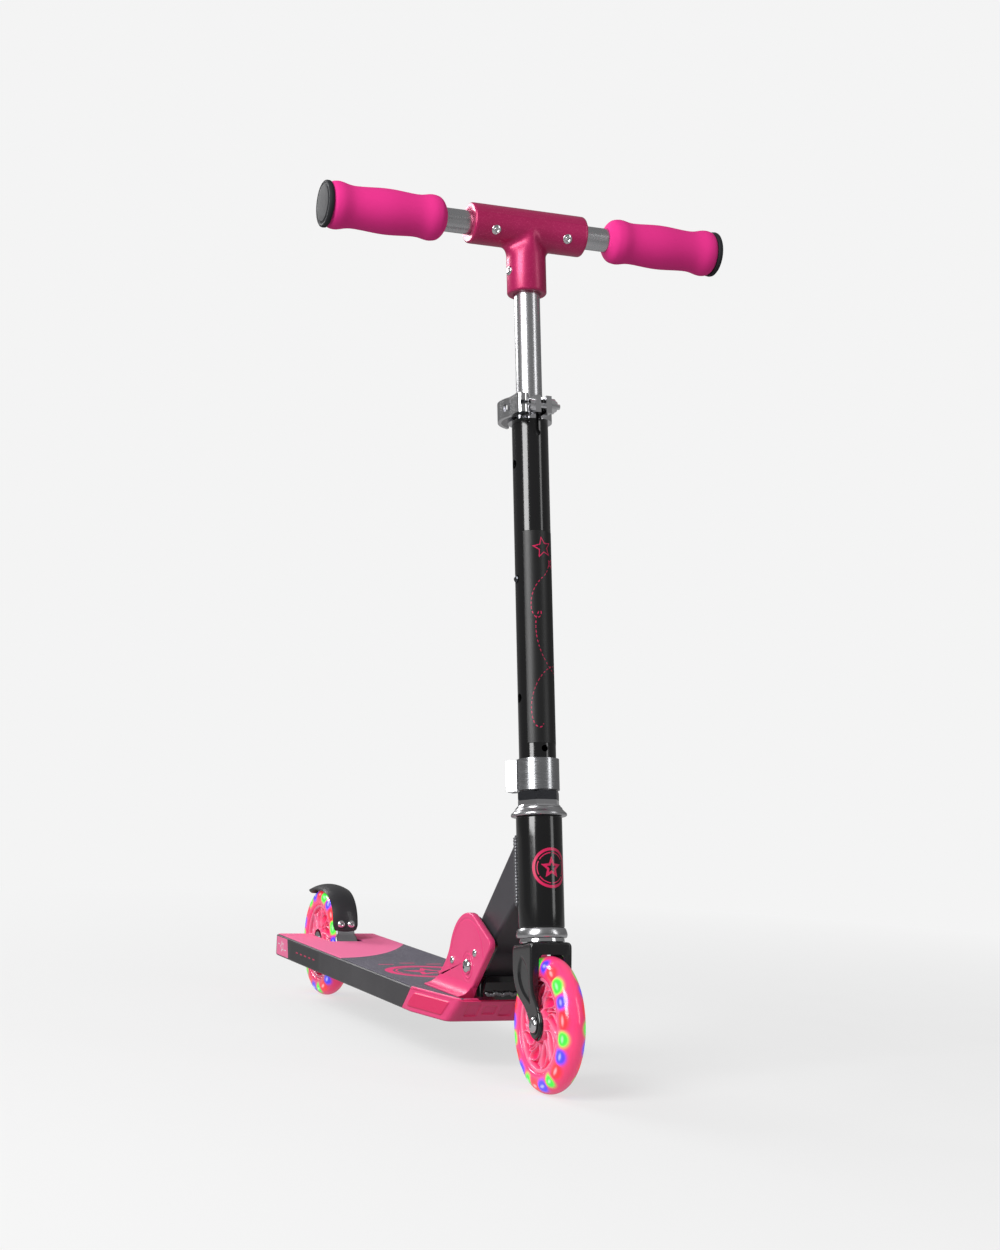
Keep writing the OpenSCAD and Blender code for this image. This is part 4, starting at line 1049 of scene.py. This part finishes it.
# ---------- handlebar ----------
@dataclass(frozen=True)
class Handlebar:
    """The pink T-sleeve, the plated bar and the foam grips."""

    bar_s: float = 736.8
    tee_half: float = 57.0
    tee_r: float = 19.0
    stem_r: float = 18.5
    stem_s: float = 673.0
    bar_r: float = 11.1
    tube_r: float = 12.05
    grip_x: tuple[float, float] = (82.5, 194.5)
    grip_d: float = 41.5
    screw_x: float = 36.0
    screw_out: float = 18.7
    screw_tilt: float = 32.0

    def build(self) -> None:
        """The sleeve, the grips and their caps, and the finish of the bar."""
        self.sleeve()
        self.grips()
        node("crossbar", POLISHED)

    def sleeve_radius(self, angle: Array) -> Array:
        """The bar part's radius round its axis: a soft ridge runs along its lower front."""
        ridge = np.exp(-(((angle - np.radians(14)) / 0.085) ** 2))
        return self.tee_r + 0.55 * ridge

    def sleeve(self) -> None:
        """The sleeve is a bar and a stem in one piece, with its screws."""
        sheets = [self.sleeve_bar(), self.sleeve_stem()]
        add(build("tee_sleeve", sheets), "handlebar", SLEEVE_PAINT, "pink_plastic", "t_sleeve")
        add(build("tee_sleeve_screws", self.screws()), "handlebar", CHROME, "chrome", "t_sleeve_screws")

    def sleeve_bar(self) -> Sheet:
        """The bar part is turned, with round ends and a lengthwise ridge."""
        bore = self.tee_r - self.bar_r
        end = self.tee_half
        along = np.array([-end + 8.0, -end + 0.4, -end, -end, -end, -end + 0.6, -end + 1.4, -end + 3.0])
        drop = np.array([bore, bore, bore - 0.6, 1.8, 1.5, 0.5, 0.1, 0.0])
        middle = np.linspace(-end + 4, end - 4, 58)
        along = np.concatenate([along, middle, -along[::-1]])
        drop = np.concatenate([drop, 0 * middle, drop[::-1]])
        angle = np.linspace(0, 2 * np.pi, 144, endpoint=False)
        turn = (angle + np.pi) % (2 * np.pi) - np.pi
        radius = self.sleeve_radius(turn)[None, :] - drop[:, None]
        y = -radius * np.cos(angle)[None, :]
        z = self.bar_s + radius * np.sin(angle)[None, :]
        return Sheet(COLUMN.out(np.stack([along[:, None] + 0 * y, y, z], -1)), close_cols=True,
                     inside=COLUMN.out([0, 0, self.bar_s]))

    def sleeve_stem(self) -> Sheet:
        """The stem's wall leaves a circle upwards and lands on the bar along its surface.

        It follows one smooth curve at each direction round the stem.
        """
        theta = np.linspace(0, 2 * np.pi, 144, endpoint=False)
        c, s = np.cos(theta), np.sin(theta)
        land_y = (self.tee_r - 0.25) * s
        beta = np.arcsin(land_y / self.tee_r)
        reach = self.stem_r + 8.0 * c**2
        start = np.stack([self.stem_r * c, self.stem_r * s, np.full(144, self.bar_s - 31.0)], -1)
        landing = np.stack([reach * c, self.tee_r * np.sin(beta), self.bar_s - self.tee_r * np.cos(beta)], -1)
        lift = np.stack([0 * c, 0 * c, 16.0 + 22.0 * s**2], -1)
        slide = np.stack([c * 16.0, np.sign(s) * np.cos(beta) * np.abs(s) * 30.0,
                          np.abs(np.sin(beta) * s) * 30.0], -1)
        t = np.linspace(0, 1, 22)[:, None, None]
        skirt = ((2 * t**3 - 3 * t**2 + 1) * start + (t**3 - 2 * t**2 + t) * lift
                 + (3 * t**2 - 2 * t**3) * landing + (t**3 - t**2) * slide)
        low, wide = self.stem_s, self.stem_r
        foot = np.array([(low + 8, self.tube_r), (low, self.tube_r), (low, wide - 1.6),
                         (low + 0.5, wide - 0.6), (low + 1.6, wide)])
        ring = np.stack([foot[:, 1:] * c, foot[:, 1:] * s, foot[:, :1] + 0 * c], -1)
        return Sheet(COLUMN.out(np.concatenate([ring, skirt])), close_cols=True,
                     inside=COLUMN.out([0, 0, 715]))

    def screws(self) -> list[Sheet]:
        """Two screws low on the bar's front and one on the stem's right."""
        tilt = np.radians(self.screw_tilt)
        normal = np.array([0, -np.cos(tilt), -np.sin(tilt)])
        seat = (normal[1] * self.screw_out, self.bar_s + normal[2] * self.screw_out)
        screws = [dome(COLUMN, (side * self.screw_x, *seat), normal, 4.6, 1.5, 2.0) for side in (-1, 1)]
        return [*screws, dome(COLUMN, (-18.2, -2.0, 694), (-1, -0.1, 0), 4.6, 1.6, 2.0)]

    def grip_radius(self, t: Array) -> Array:
        """The foam's radius from its inner end to its cap: two bulges and a barrel between two valleys."""
        def bell(middle: float, width: float) -> Array:
            """A hump of height 1 at the middle."""
            return np.exp(-(((t - middle) / width) ** 2))

        body = (self.grip_d / 2 - 1.9 + 2.0 * bell(0.5, 0.2)
                + 2.3 * bell(0.115, 0.075) + 3.0 * bell(0.93, 0.085))
        inner = 1 - 0.36 * np.clip(1 - t / 0.075, 0, 1) ** 2.4
        outer = 1 - 0.07 * np.clip((t - 0.965) / 0.035, 0, 1) ** 2
        return body * inner * outer

    def grips(self) -> None:
        """Each grip is a turned profile with slow waves from the foam; its cap is a flat button."""
        t = np.concatenate([np.linspace(0, 0.08, 16), np.linspace(0.09, 0.95, 60), np.linspace(0.955, 1, 10)])
        x0, x1 = self.grip_x
        caps = []
        for side, name in ((-1, "right"), (1, "left")):
            along = side * (x0 + (x1 - x0) * t)
            radius = self.grip_radius(t)
            profile = np.stack([along, radius], -1)
            profile = np.concatenate([[[along[0] + side * 3, self.bar_r]], [[along[0], self.bar_r]], profile,
                                      [[along[-1], self.bar_r]]])
            sheet = lathe(COLUMN, 0, profile, 128, middle=[0, 0, self.bar_s])
            piece = build(f"foam_grip_{name}", [sheet])
            add(piece, "handlebar", FOAM, "foam", f"grip_{name}")
            rim = [(0.0, 10.0), (0.0, 20.6), (0.6, 21.3), (2.6, 21.5), (3.9, 21.1), (4.6, 20.2), (4.75, 19.2),
                   (4.3, 18.7), (4.3, 17.6), (4.75, 17.2), (5.0, 15.0), (5.0, 3.0)]
            profile = np.array([(side * (x1 + a), b) for a, b in rim])
            cap = lathe(COLUMN, 0, profile, 96, middle=[0, 0, self.bar_s])
            cap.caps = (False, True)
            cap.inside = COLUMN.out([side * (x1 + 2), 0, self.bar_s])
            caps.append(cap)
        add(build("grip_caps", caps), "handlebar", CAP_PLASTIC, "black_plastic", "end_caps")


# ---------- fold hinge ----------
@dataclass(frozen=True)
class Hinge:
    """The pink covers over the folding joint, the bracket between them and the fold lever."""

    inner: float = 24.6
    outer: float = 30.5
    foot: float = 40.0
    metal: float = 67.4
    centre: tuple[float, float] = (128.0, 100.0)
    head: tuple[float, float] = (125.0, 98.0)
    head_radius: float = 47.0
    pivot: tuple[float, float] = (123.0, 96.0)

    def build(self) -> None:
        """Both covers, their screws and the small CAD parts."""
        for side, name in ((-1, "right"), (1, "left")):
            self.cover(side, name)
        for name, finish, edge in (("hinge_bracket", GLOSS_BLACK, 0.6), ("fold_bolt", CHROME, 0.0),
                                   ("cover_screws", CHROME, 0.0), ("fold_lever", CHROME, 0.8),
                                   ("fold_lever_pin", SATIN_STEEL, 0.4)):
            node(name, finish, edge)

    def outline(self) -> Array:
        """The cover's side: a round head, a straight sloping front and a tail that runs out rearwards."""
        (b, z), r = self.head, self.head_radius
        head = np.radians(np.linspace(20, 100, 18))
        nose = np.radians(np.linspace(118, 225, 8))
        points = [(b + r * np.cos(a), z + r * np.sin(a), 0.0) for a in head]
        points += [(79 + 7 * np.cos(a), 120.5 + 7 * np.sin(a), 0.0) for a in nose]
        points += [(111, 77.0, 2.0), (199.5, 77.0, 1.5)]
        tail = bezier((198.5, 79.3), (186, 88), (175, 98), (b + r * np.cos(0.28), z + r * np.sin(0.28)), 14)
        points += [(x, y, 0.0) for x, y in tail[1:]]
        return resample(rounded(points), 260, closed=True)

    def relief(self, b: Array, z: Array) -> Array:
        """How deep the face is cut: a thin groove inside the rim and a dish round the pivot bolt."""
        rho = np.hypot(b - self.pivot[0], z - self.pivot[1])
        ring = 0.55 * (1 - smooth(np.abs(rho - 12.6), 0.5, 1.3))
        dish = 0.5 * (1 - smooth(rho, 9.6, 10.6))
        arc = np.abs(np.hypot(b - self.head[0], z - self.head[1]) - 41.5)
        groove = 0.5 * (1 - smooth(arc, 0.3, 0.9)) * smooth(z, 84, 88)
        return ring + dish + groove

    def cover(self, side: int, name: str) -> None:
        """One cover: its face and its foot."""
        add(build(f"hinge_cover_{name}_skin", [self.cover_face(side), self.cover_foot(side)]), "deck",
            PLASTIC, "pink_plastic", f"hinge_cover_{name}")

    def cover_face(self, side: int) -> Sheet:
        """The face is a grid from the outline to a centre, with a round edge."""
        line = self.outline()
        rim = inward(line)
        centre = np.array(self.centre)
        rings, height = [], []
        for draw, h in ((0.3, self.inner), (0.0, self.inner + 0.3), (0.0, self.outer - 1.5)):
            rings.append(line + rim * draw)
            height.append(np.full(len(line), h))
        for a in np.radians(np.linspace(0, 90, 7))[1:]:
            rings.append(line + rim * 1.5 * (1 - np.cos(a)))
            height.append(np.full(len(line), self.outer - 1.5 * (1 - np.sin(a))))
        start = line + rim * 1.9
        for k in np.linspace(0, 0.985, 62):
            ring = start * (1 - k) + centre * k
            rings.append(ring)
            height.append(self.outer - self.relief(ring[:, 0], ring[:, 1]))
        rings, height = np.array(rings), np.array(height)
        grid = np.stack([side * height, rings[..., 0], rings[..., 1]], -1)
        return Sheet(GROUND.out(grid), close_cols=True, caps=(False, True),
                     inside=GROUND.out([side * 22.0, 128, 100]))

    def cover_foot(self, side: int) -> Sheet:
        """The foot is a section that flares to the deck, carried from front to rear."""
        flare = bezier((self.outer - 0.6, 86.5), (self.outer - 0.1, 76), (33.2, 70.6), (self.foot, 69.6), 16)
        profile = np.concatenate([flare, [(self.foot + 0.2, 69.2), (self.foot + 0.2, self.metal),
                                          (self.inner, self.metal), (self.inner, 86.0)]])
        front = np.interp(profile[:, 1], [67, 70, 80, 87], [118.5, 116.5, 110.2, 104.0])
        rear = np.interp(profile[:, 1], [67, 70, 77, 80, 87], [209.5, 208.5, 198.0, 193.5, 184.5])
        share = np.concatenate([[0, 0.004, 0.012], np.linspace(0.03, 0.97, 24), [0.988, 0.996, 1.0]])[:, None]
        pull = np.array([1.6, 0.7, 0.2] + [0] * 24 + [0.2, 0.7, 1.6])[:, None]
        x = profile[None, :, 0] - pull * (profile[None, :, 0] - self.inner) / 16
        b = front[None] * (1 - share) + rear[None] * share
        return Sheet(GROUND.out(np.stack([side * x, b, profile[None, :, 1] + 0 * b], -1)), close_cols=True,
                     caps=(True, True))


# ---------- deck ----------
@dataclass(frozen=True)
class Deck:
    """The deck, its grip tape, the bumper and the decals on its sides."""

    half: float = 57.9
    nose_half: float = 42.0
    nose: float = 105.7
    joint: float = 195.6
    end: float = 637.5
    top: float = 68.2
    metal: float = 67.4
    bottom: float = 43.9
    rim: float = 1.8
    nose_corner: float = 7.0
    emblem: tuple[float, float] = (0.0, 300.0)
    tape_holes: tuple[tuple[float, float, float], ...] = (
        (31.0, 84.0, 207.0), (40.2, 110.8, 210.2), (20.0, 559.8, 690.0))

    def build(self) -> None:
        """The tape, the bumper, the decals, and the finish of the deck's CAD parts."""
        self.tape()
        self.bumper()
        self.decals()
        for part in (("deck_extrusion", DECK_SIDE, 0.8), ("rear_end_plugs", BLACK_PLASTIC, 0.6),
                     ("rear_axle_bolt", SATIN_STEEL, 0.0), ("rear_axle_nut", SATIN_STEEL, 0.3),
                     ("rear_axle_spacers", SATIN_STEEL, 0.0), ("brake_rivets", CHROME, 0.0)):
            node(*part)

    def half_at(self, b: Array) -> Array:
        """Half the deck's width at a distance behind the front axle."""
        return np.interp(b, [self.nose, self.joint], [self.nose_half, self.half])

    def tape(self) -> None:
        """The tape is a grid over the deck, cut at the hinge, the brake and the wheel, with its print.

        Each hole is its half width and where it starts and ends behind the front axle.
        """
        holes = self.tape_holes
        xs = np.linspace(-self.half + self.rim, self.half - self.rim, 90)
        bs = np.linspace(self.nose + self.rim, self.end - 1, 350)
        xs = np.unique(np.concatenate([xs, [s * h[0] for h in holes for s in (-1, 1)]]))
        ends = [b for hole in holes for b in hole[1:] if self.nose + 2 < b < self.end - 2]
        bs = np.unique(np.concatenate([bs, ends]))
        x, b = np.meshgrid(xs, bs, indexing="ij")
        bound = self.half_at(b) - self.rim
        x = np.clip(x, -bound, bound)
        mx, mb = (x[1:, 1:] + x[:-1, :-1]) / 2, (b[1:, 1:] + b[:-1, :-1]) / 2
        keep = x[1:, 1:] - x[:-1, :-1] > 1e-6
        for half, b0, b1 in holes:
            keep &= ~((np.abs(mx) < half) & (mb > b0) & (mb < b1))
        edge_b = 413 + 0.179 * (x + 52) + 0.00858 * (x + 52) ** 2
        ex, eb = x - self.emblem[0], b - self.emblem[1]
        rho = np.hypot(ex, eb)
        ring = np.abs(rho - 41) - 4.0
        inner = np.abs(rho - 33.5) - 1.0
        star = np.maximum(star_distance(ex, eb, 27.5, 12.5), -star_distance(ex, eb, 14.5, 6.6))
        mark = np.minimum(np.minimum(ring, inner), star)
        for k in range(3):
            streak = box_distance(x, b, -26 + 26 * k, 358 + 9 * (k % 2), 8.5, 1.6, 1.5)
            mark = np.minimum(mark, streak)
        grid = np.stack([x, b, np.full_like(x, self.top)], -1)
        sheet = Sheet(GROUND.out(grid), inside=GROUND.out([0, 370, 0]), keep=keep,
                      values={"pink": -(b - edge_b), "mark": mark})
        piece = build("grip_tape", [sheet])
        thicken(piece, 0.75)
        add(piece, "deck", TAPE, "griptape", "griptape")

    def bumper(self) -> None:
        """The bumper's wall is a grid round its outline and down its height; panels are sunk into it.

        Both its front and its joint slope, so each level of the outline sits further back than the last.
        """
        levels = [(self.top - 0.2, 1.55), (self.top, 1.3), (self.top - 0.12, 0.7), (self.top - 0.5, 0.25)]
        levels = [(self.metal, 1.75)] + levels + [(self.top - 1.2, 0.0)]
        levels += [(z, 0.0) for z in np.linspace(self.top - 1.8, self.bottom + 1.6, 44)]
        levels += [(self.bottom + 0.5, 0.35), (self.bottom, 1.2)]
        rows, painted_shade_rows = [], []
        for z, draw in levels:
            back = self.top - z
            nose, joint = self.nose + back, self.joint + back
            hn, hj = self.half_at(nose) - draw, self.half - draw
            line = [(-hn, nose + draw, self.nose_corner), (hn, nose + draw, self.nose_corner)]
            if joint - 0.5 >= self.joint + 2.5:
                line = [(-hj, self.joint + 2, 0.5), *line, (hj, self.joint + 2, 0.5)]
            line = [(-hj, joint - 0.5, 0), *line, (hj, joint - 0.5, 0)]
            path = resample(rounded(line, 8, closed=False), 340)
            depth, printed = self.panels(path, z)
            path = path - left_of(path) * depth[:, None]
            rows.append(np.column_stack([path, np.full(len(path), z)]))
            # painted shade: each row's distance for the darker ink in the sunk panels and round the bars
            painted_shade_rows.append(printed)
        sheet = Sheet(GROUND.out(np.array(rows)), inside=GROUND.out([0, 170, 50]),
                      values={"deep": np.array(painted_shade_rows)})
        piece = build("bumper_skin", [sheet])
        thicken(piece, 2.6)
        add(piece, "deck", BUMPER_PLASTIC, "pink_plastic", "front_bumper")

    def panels(self, path: Array, z: float) -> tuple[Array, Array]:
        """The sunk panel on each side and the raised bars on the front: depth, and distance for the painted
        shade.
        """
        back = self.top - z
        x, b = path.T
        lean = b - back
        side = box_distance(lean, np.full_like(b, z), 152, 55.8, 33, 7.6, 3.0)
        front_side = np.where(np.abs(x) > self.half_at(self.nose + back) - 8.5, 50.0, 0.0)
        on_side = lean > self.nose + 7.0
        panel = 1.1 * (1 - smooth(side, -1.3, 0.0)) * on_side
        bars = np.full_like(b, 9.0)
        for k in range(4):
            bars = np.minimum(bars, box_distance(
                x, np.full_like(x, z), -25.5 + 17 * k, 56, 6.4, 6.6 - (k % 2) * 2.2, 1.6))
        bars = bars + front_side
        raised = -1.7 * (1 - smooth(np.where(on_side, 9.0, bars), -0.7, 0.1))
        # painted shade: the sunk side panel and a thin line round each front bar take the darker pink ink
        return panel + raised, np.where(on_side, side + 0.4, np.abs(bars + 0.1) - 0.35)

    def decals(self) -> None:
        """A printed patch near the rear on each side: a pink block with a generic mark, then a faint one."""
        sheets = []
        for side in (-1, 1):
            b, z = np.meshgrid(np.linspace(470, 636, 200),
                               np.linspace(self.bottom + 1.8, self.metal - 1.4, 46), indexing="ij")
            block = np.maximum(box_distance(b, z, 614.5, 55.5, 24.5, 20, 0.5), -(b - 594) + (z - 55) * 0.28)
            badge = np.abs(star_distance(z - 56, b - 616, 6.0, 2.9)) - 0.55
            for dash in ((604, 53), (628, 58)):
                badge = np.minimum(badge, box_distance(b, z, *dash, 3.2, 0.6, 0.5))
            panel = box_distance(b, z, 533, 55.5, 52, 9.5, 1.0)
            faint = np.full_like(b, 9.0)
            for k in range(5):
                faint = np.minimum(faint, box_distance(b, z, 500 + 15 * k, 55.5, 3.5, 0.7, 0.6))
            grid = np.stack([np.full_like(b, side * (self.half + 0.06)), b, z], -1)
            sheets.append(Sheet(GROUND.out(grid), inside=GROUND.out([0, 550, 55]),
                                values={"block": block, "badge": badge, "panel": panel, "faint": faint}))
        add(build("deck_decals", sheets), "deck", DECAL, "satin_deck")


TAPE = Finish("grip tape", Gray.CHARCOAL.value, 0.85, deep=(0.125, 0.118, 0.148), bump=0.00035, grain=1900.0,
              flakes=0.05, flake_color=(0.42, 0.40, 0.44), specular=0.3,
              inks=(Ink("mark", (0.90, 0.060, 0.225), 0.8, 0.3), Ink("pink", Pink.TAPE.value, 0.8, 0.3)))
# the ink named deep is painted shade in the sunk side panels and round the front bars
BUMPER_PLASTIC = replace(PLASTIC, name="bumper plastic", inks=(Ink("deep", (0.74, 0.022, 0.125), 0.42, 0.5),))
DECAL = replace(DECK_SIDE, name="deck decal", inks=(
    Ink("panel", (0.030, 0.029, 0.033), 0.4), Ink("faint", Pink.INK.value, 0.4),
    Ink("block", Pink.TAPE.value, 0.4), Ink("badge", (0.9, 0.75, 0.8), 0.4)))


# ---------- brake ----------
@dataclass(frozen=True)
class Brake:
    """The rear fender, which is pressed down on the wheel to brake, and its spring plate."""

    half: float = 16.2
    gauge: float = 2.4
    plate_half: float = 12.5
    plate_top: float = 64.3

    def build(self) -> None:
        """The fender, its spring plate, and the screws."""
        self.fender()
        self.plate()
        self.screws()

    def path(self) -> Array:
        """The fender's middle line from its foot, up and back over the tyre to its tail."""
        up = bezier((567, 79), (567.6, 99), (577, 122), (612, 125), 40)
        over = bezier((612, 125), (632, 126.6), (654, 124.5), (672, 114.5), 34)
        return resample(np.concatenate([up, over[1:]]), 110)

    def fender(self) -> None:
        """A crowned section carried along the path; its foot has round corners and its tail is a leaf's."""
        line = self.path()
        out = left_of(line)
        t = np.linspace(0, 1, len(line))[:, None]
        u = np.linspace(-1, 1, 41)[None, :]
        corner = 0.80 + 0.2 * np.sqrt(np.clip(t / 0.05, 0, 1))
        wide = self.half * (0.90 + 0.10 * smooth(t, 0.25, 0.75)) * corner
        wide = wide * np.sqrt(np.clip(1.04 - np.clip((t - 0.86) / 0.14, 0, 1) ** 2, 0, 1))
        crown = -4.6 * np.abs(u) ** 2.0 * (0.55 + 0.45 * smooth(t, 0.1, 0.45))
        x = wide * u
        b = line[:, :1] + out[:, :1] * crown
        z = line[:, 1:] + out[:, 1:] * crown
        sheet = Sheet(GROUND.out(np.stack([x, b, z], -1)), inside=GROUND.out([0, 625, 60]))
        piece = build("brake_fender_skin", [sheet])
        thicken(piece, self.gauge, even=False)
        soften(piece, 0.9)
        add(piece, "brake", SATIN_BLACK, "black_steel", "brake_fender")

    def plate(self) -> None:
        """The spring plate: a strip under the deck's top, bent up through the slot behind the fender."""
        corners = [(539, self.plate_top, 0), (560.8, self.plate_top, 3), (569.8, 79, 6), (572.5, 96, 0)]
        line = resample(rounded(corners, 8, closed=False), 60)
        u = np.linspace(-1, 1, 15)[None, :]
        x = self.plate_half * (1 - 0.17 * smooth(line[:, 1:], 71, 76)) * u
        grid = np.stack([x, line[:, :1] + 0 * x, line[:, 1:] + 0 * x], -1)
        piece = build("brake_plate_strip", [Sheet(GROUND.out(grid), inside=GROUND.out([0, 620, 40]))])
        thicken(piece, 1.9)
        paint(piece, SATIN_STEEL)
        list(GROUND.out([0, 560, 64]))
        list(GROUND.out([0, 568, 77]))
        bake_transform(piece)
        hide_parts("brake_plate")
        log.info("made the brake plate")

    def screws(self) -> None:
        """Two domed screws on the fender's front."""
        sheets = [dome(GROUND, (side * 5.8, 567.5, 86.3), (0, -0.99, 0.14), 4.2, 2.3, 1.8)
                  for side in (-1, 1)]
        add(build("brake_screw_heads", sheets), "brake", CHROME, "chrome", "brake_screws")


# ---------- studio ----------
@dataclass(frozen=True)
class Softbox:
    """An area light: where it stands and what it looks at in metres, its size and its power."""

    name: str
    place: tuple[float, float, float]
    target: tuple[float, float, float]
    size: tuple[float, float]
    watts: float


@dataclass(frozen=True)
class Studio:
    """A pale room: one floor, a world that looks the same shade, and soft lights."""

    backdrop: float = 0.905
    ambient: float = 0.20
    floor_white: float = 0.82
    floor_glow: float = 0.26
    eye: tuple[float, float, float] = (-0.7987, -2.1155, 0.3433)
    gaze: tuple[float, float, float] = (0.3864, 0.9221, 0.0215)
    roll: float = 2.5
    lens: float = 64.46
    shift: tuple[float, float] = (-0.015, 0.0215)
    lights: tuple[Softbox, ...] = (
        Softbox("key", (-2.0, -1.3, 1.6), (0, 0, 0.35), (1.3, 1.9), 72.0),
        Softbox("fill", (1.6, -1.9, 1.2), (0, 0, 0.3), (0.6, 1.6), 7.0),
        Softbox("rim", (-1.0, 2.0, 1.5), (0, 0, 0.4), (1.4, 0.8), 30.0),
        Softbox("overhead", (0.0, 0.0, 2.4), (0, 0, 0), (1.6, 1.2), 56.0),
    )

    def build(self) -> None:
        """The floor, the world, the lights and the camera."""
        bpy.context.scene.view_settings.view_transform = "Standard"
        self.floor()
        self.world()
        for light in self.lights:
            self.softbox(light)
        self.camera()

    def floor(self) -> None:
        """A flat floor that shades softly near the scooter and melts into the backdrop further out."""
        r = np.array([0.0005, 0.3, 0.6, 1.0, 2.0, 4.0, 9.0, 20.0, 60.0])
        sheet = lathe(Placement(np.zeros(3), np.eye(3)), 2, np.stack([0 * r, r * 1000.0], -1), 64)
        thing = build("floor", [Sheet(sheet.points, close_cols=True, inside=np.array([0, 0, -1.0]))])
        s = Shader("floor")
        where = s.node("ShaderNodeTexCoord").outputs["Object"]
        away = s.node("ShaderNodeVectorMath", {0: where}, operation="LENGTH")
        near = s.node("ShaderNodeMapRange", {0: away.outputs["Value"], 1: 0.5, 2: 1.6, 3: 0.30,
                                             4: 0.0}).outputs[0]
        grain = s.group(GRAIN, {0: 60.0}).outputs[1]
        near = s.math("MULTIPLY", near, s.math("ADD", 0.92, s.math("MULTIPLY", grain, 0.16)))
        white = s.node("ShaderNodeBsdfDiffuse", {0: rgba((self.floor_white,) * 3)}).outputs[0]
        pale = s.node("ShaderNodeEmission", {0: rgba((self.backdrop,) * 3), 1: 1.0}).outputs[0]
        seen = s.node("ShaderNodeLightPath").outputs["Is Camera Ray"]
        dim = s.node("ShaderNodeEmission", {0: rgba((self.floor_glow,) * 3), 1: 1.0}).outputs[0]
        pale = s.node("ShaderNodeMixShader", {0: seen, 1: dim, 2: pale}).outputs[0]
        mixed = s.node("ShaderNodeMixShader", {0: near, 1: pale, 2: white}).outputs[0]
        thing.data.materials.append(s.finish(mixed))

    def world(self) -> None:
        """A world that the camera sees as the backdrop and that lights the scooter more dimly."""
        world = bpy.data.worlds.new("studio")
        bpy.context.scene.world = world
        world.use_nodes = True
        tree = world.node_tree
        tree.nodes.clear()
        seen = add_node(tree, "ShaderNodeLightPath").outputs["Is Camera Ray"]
        way = add_node(tree, "ShaderNodeTexCoord").outputs["Generated"]
        up = add_node(tree, "ShaderNodeSeparateXYZ", {0: way})
        level = add_node(tree, "ShaderNodeMapRange", {0: up.outputs[2], 1: -0.3, 2: 0.8,
                                                      3: self.ambient * 0.55, 4: self.ambient * 1.25})
        strength = add_node(tree, "ShaderNodeMix", {0: seen, 2: level.outputs[0], 3: self.backdrop},
                            data_type="FLOAT")
        light = add_node(tree, "ShaderNodeBackground", {0: (1.0, 1.0, 1.0, 1.0), 1: strength.outputs[0]})
        add_node(tree, "ShaderNodeOutputWorld", {0: light.outputs[0]})

    def softbox(self, box: Softbox) -> None:
        """One area light, turned to its target."""
        data = bpy.data.lights.new(box.name, "AREA")
        data.shape, data.size, data.size_y = "RECTANGLE", *box.size
        data.energy = box.watts
        thing = linked(box.name, data)
        eye, target = np.array(box.place), np.array(box.target)
        thing.matrix_world = facing(eye, target - eye, 0.0)

    def camera(self) -> None:
        """The camera, low in front of the scooter and a little to its right."""
        data = bpy.data.cameras.new("camera")
        data.lens, data.sensor_width, data.sensor_fit = self.lens, 36.0, "AUTO"
        data.shift_x, data.shift_y = self.shift
        data.clip_end = 200.0
        thing = linked("camera", data)
        thing.matrix_world = facing(np.array(self.eye), np.array(self.gaze), self.roll)
        bpy.context.scene.camera = thing


def facing(eye: Array, gaze: Array, roll: float) -> Matrix:
    """The matrix of a camera or light at that place, looking that way, turned by roll degrees.

    Known fault: for a light that looks straight down, the way to the right has no value.
    """
    ahead = gaze / np.linalg.norm(gaze)
    right = np.cross(ahead, [0.0, 0.0, 1.0])
    right /= np.linalg.norm(right)
    up = np.cross(right, ahead)
    c, s = np.cos(np.radians(roll)), np.sin(np.radians(roll))
    right, up = right * c + up * s, up * c - right * s
    turned = np.eye(4)
    turned[:3, :4] = np.stack([right, up, -ahead, eye], 1)
    return Matrix(turned.tolist())


def main() -> None:
    """Builds every part of the scooter and the studio round it."""
    logging.basicConfig(level=logging.INFO, format="%(name)s: %(message)s")
    Wheel("front", "front_wheel", FRONT_AXLE, phase=0.35).build()
    Wheel("rear", "rear_wheel", REAR_AXLE, phase=0.1).build()
    Fork().build()
    Neck().build()
    Column().build()
    Handlebar().build()
    Hinge().build()
    Deck().build()
    Brake().build()
    Studio().build()


if __name__ == "__main__":
    main()
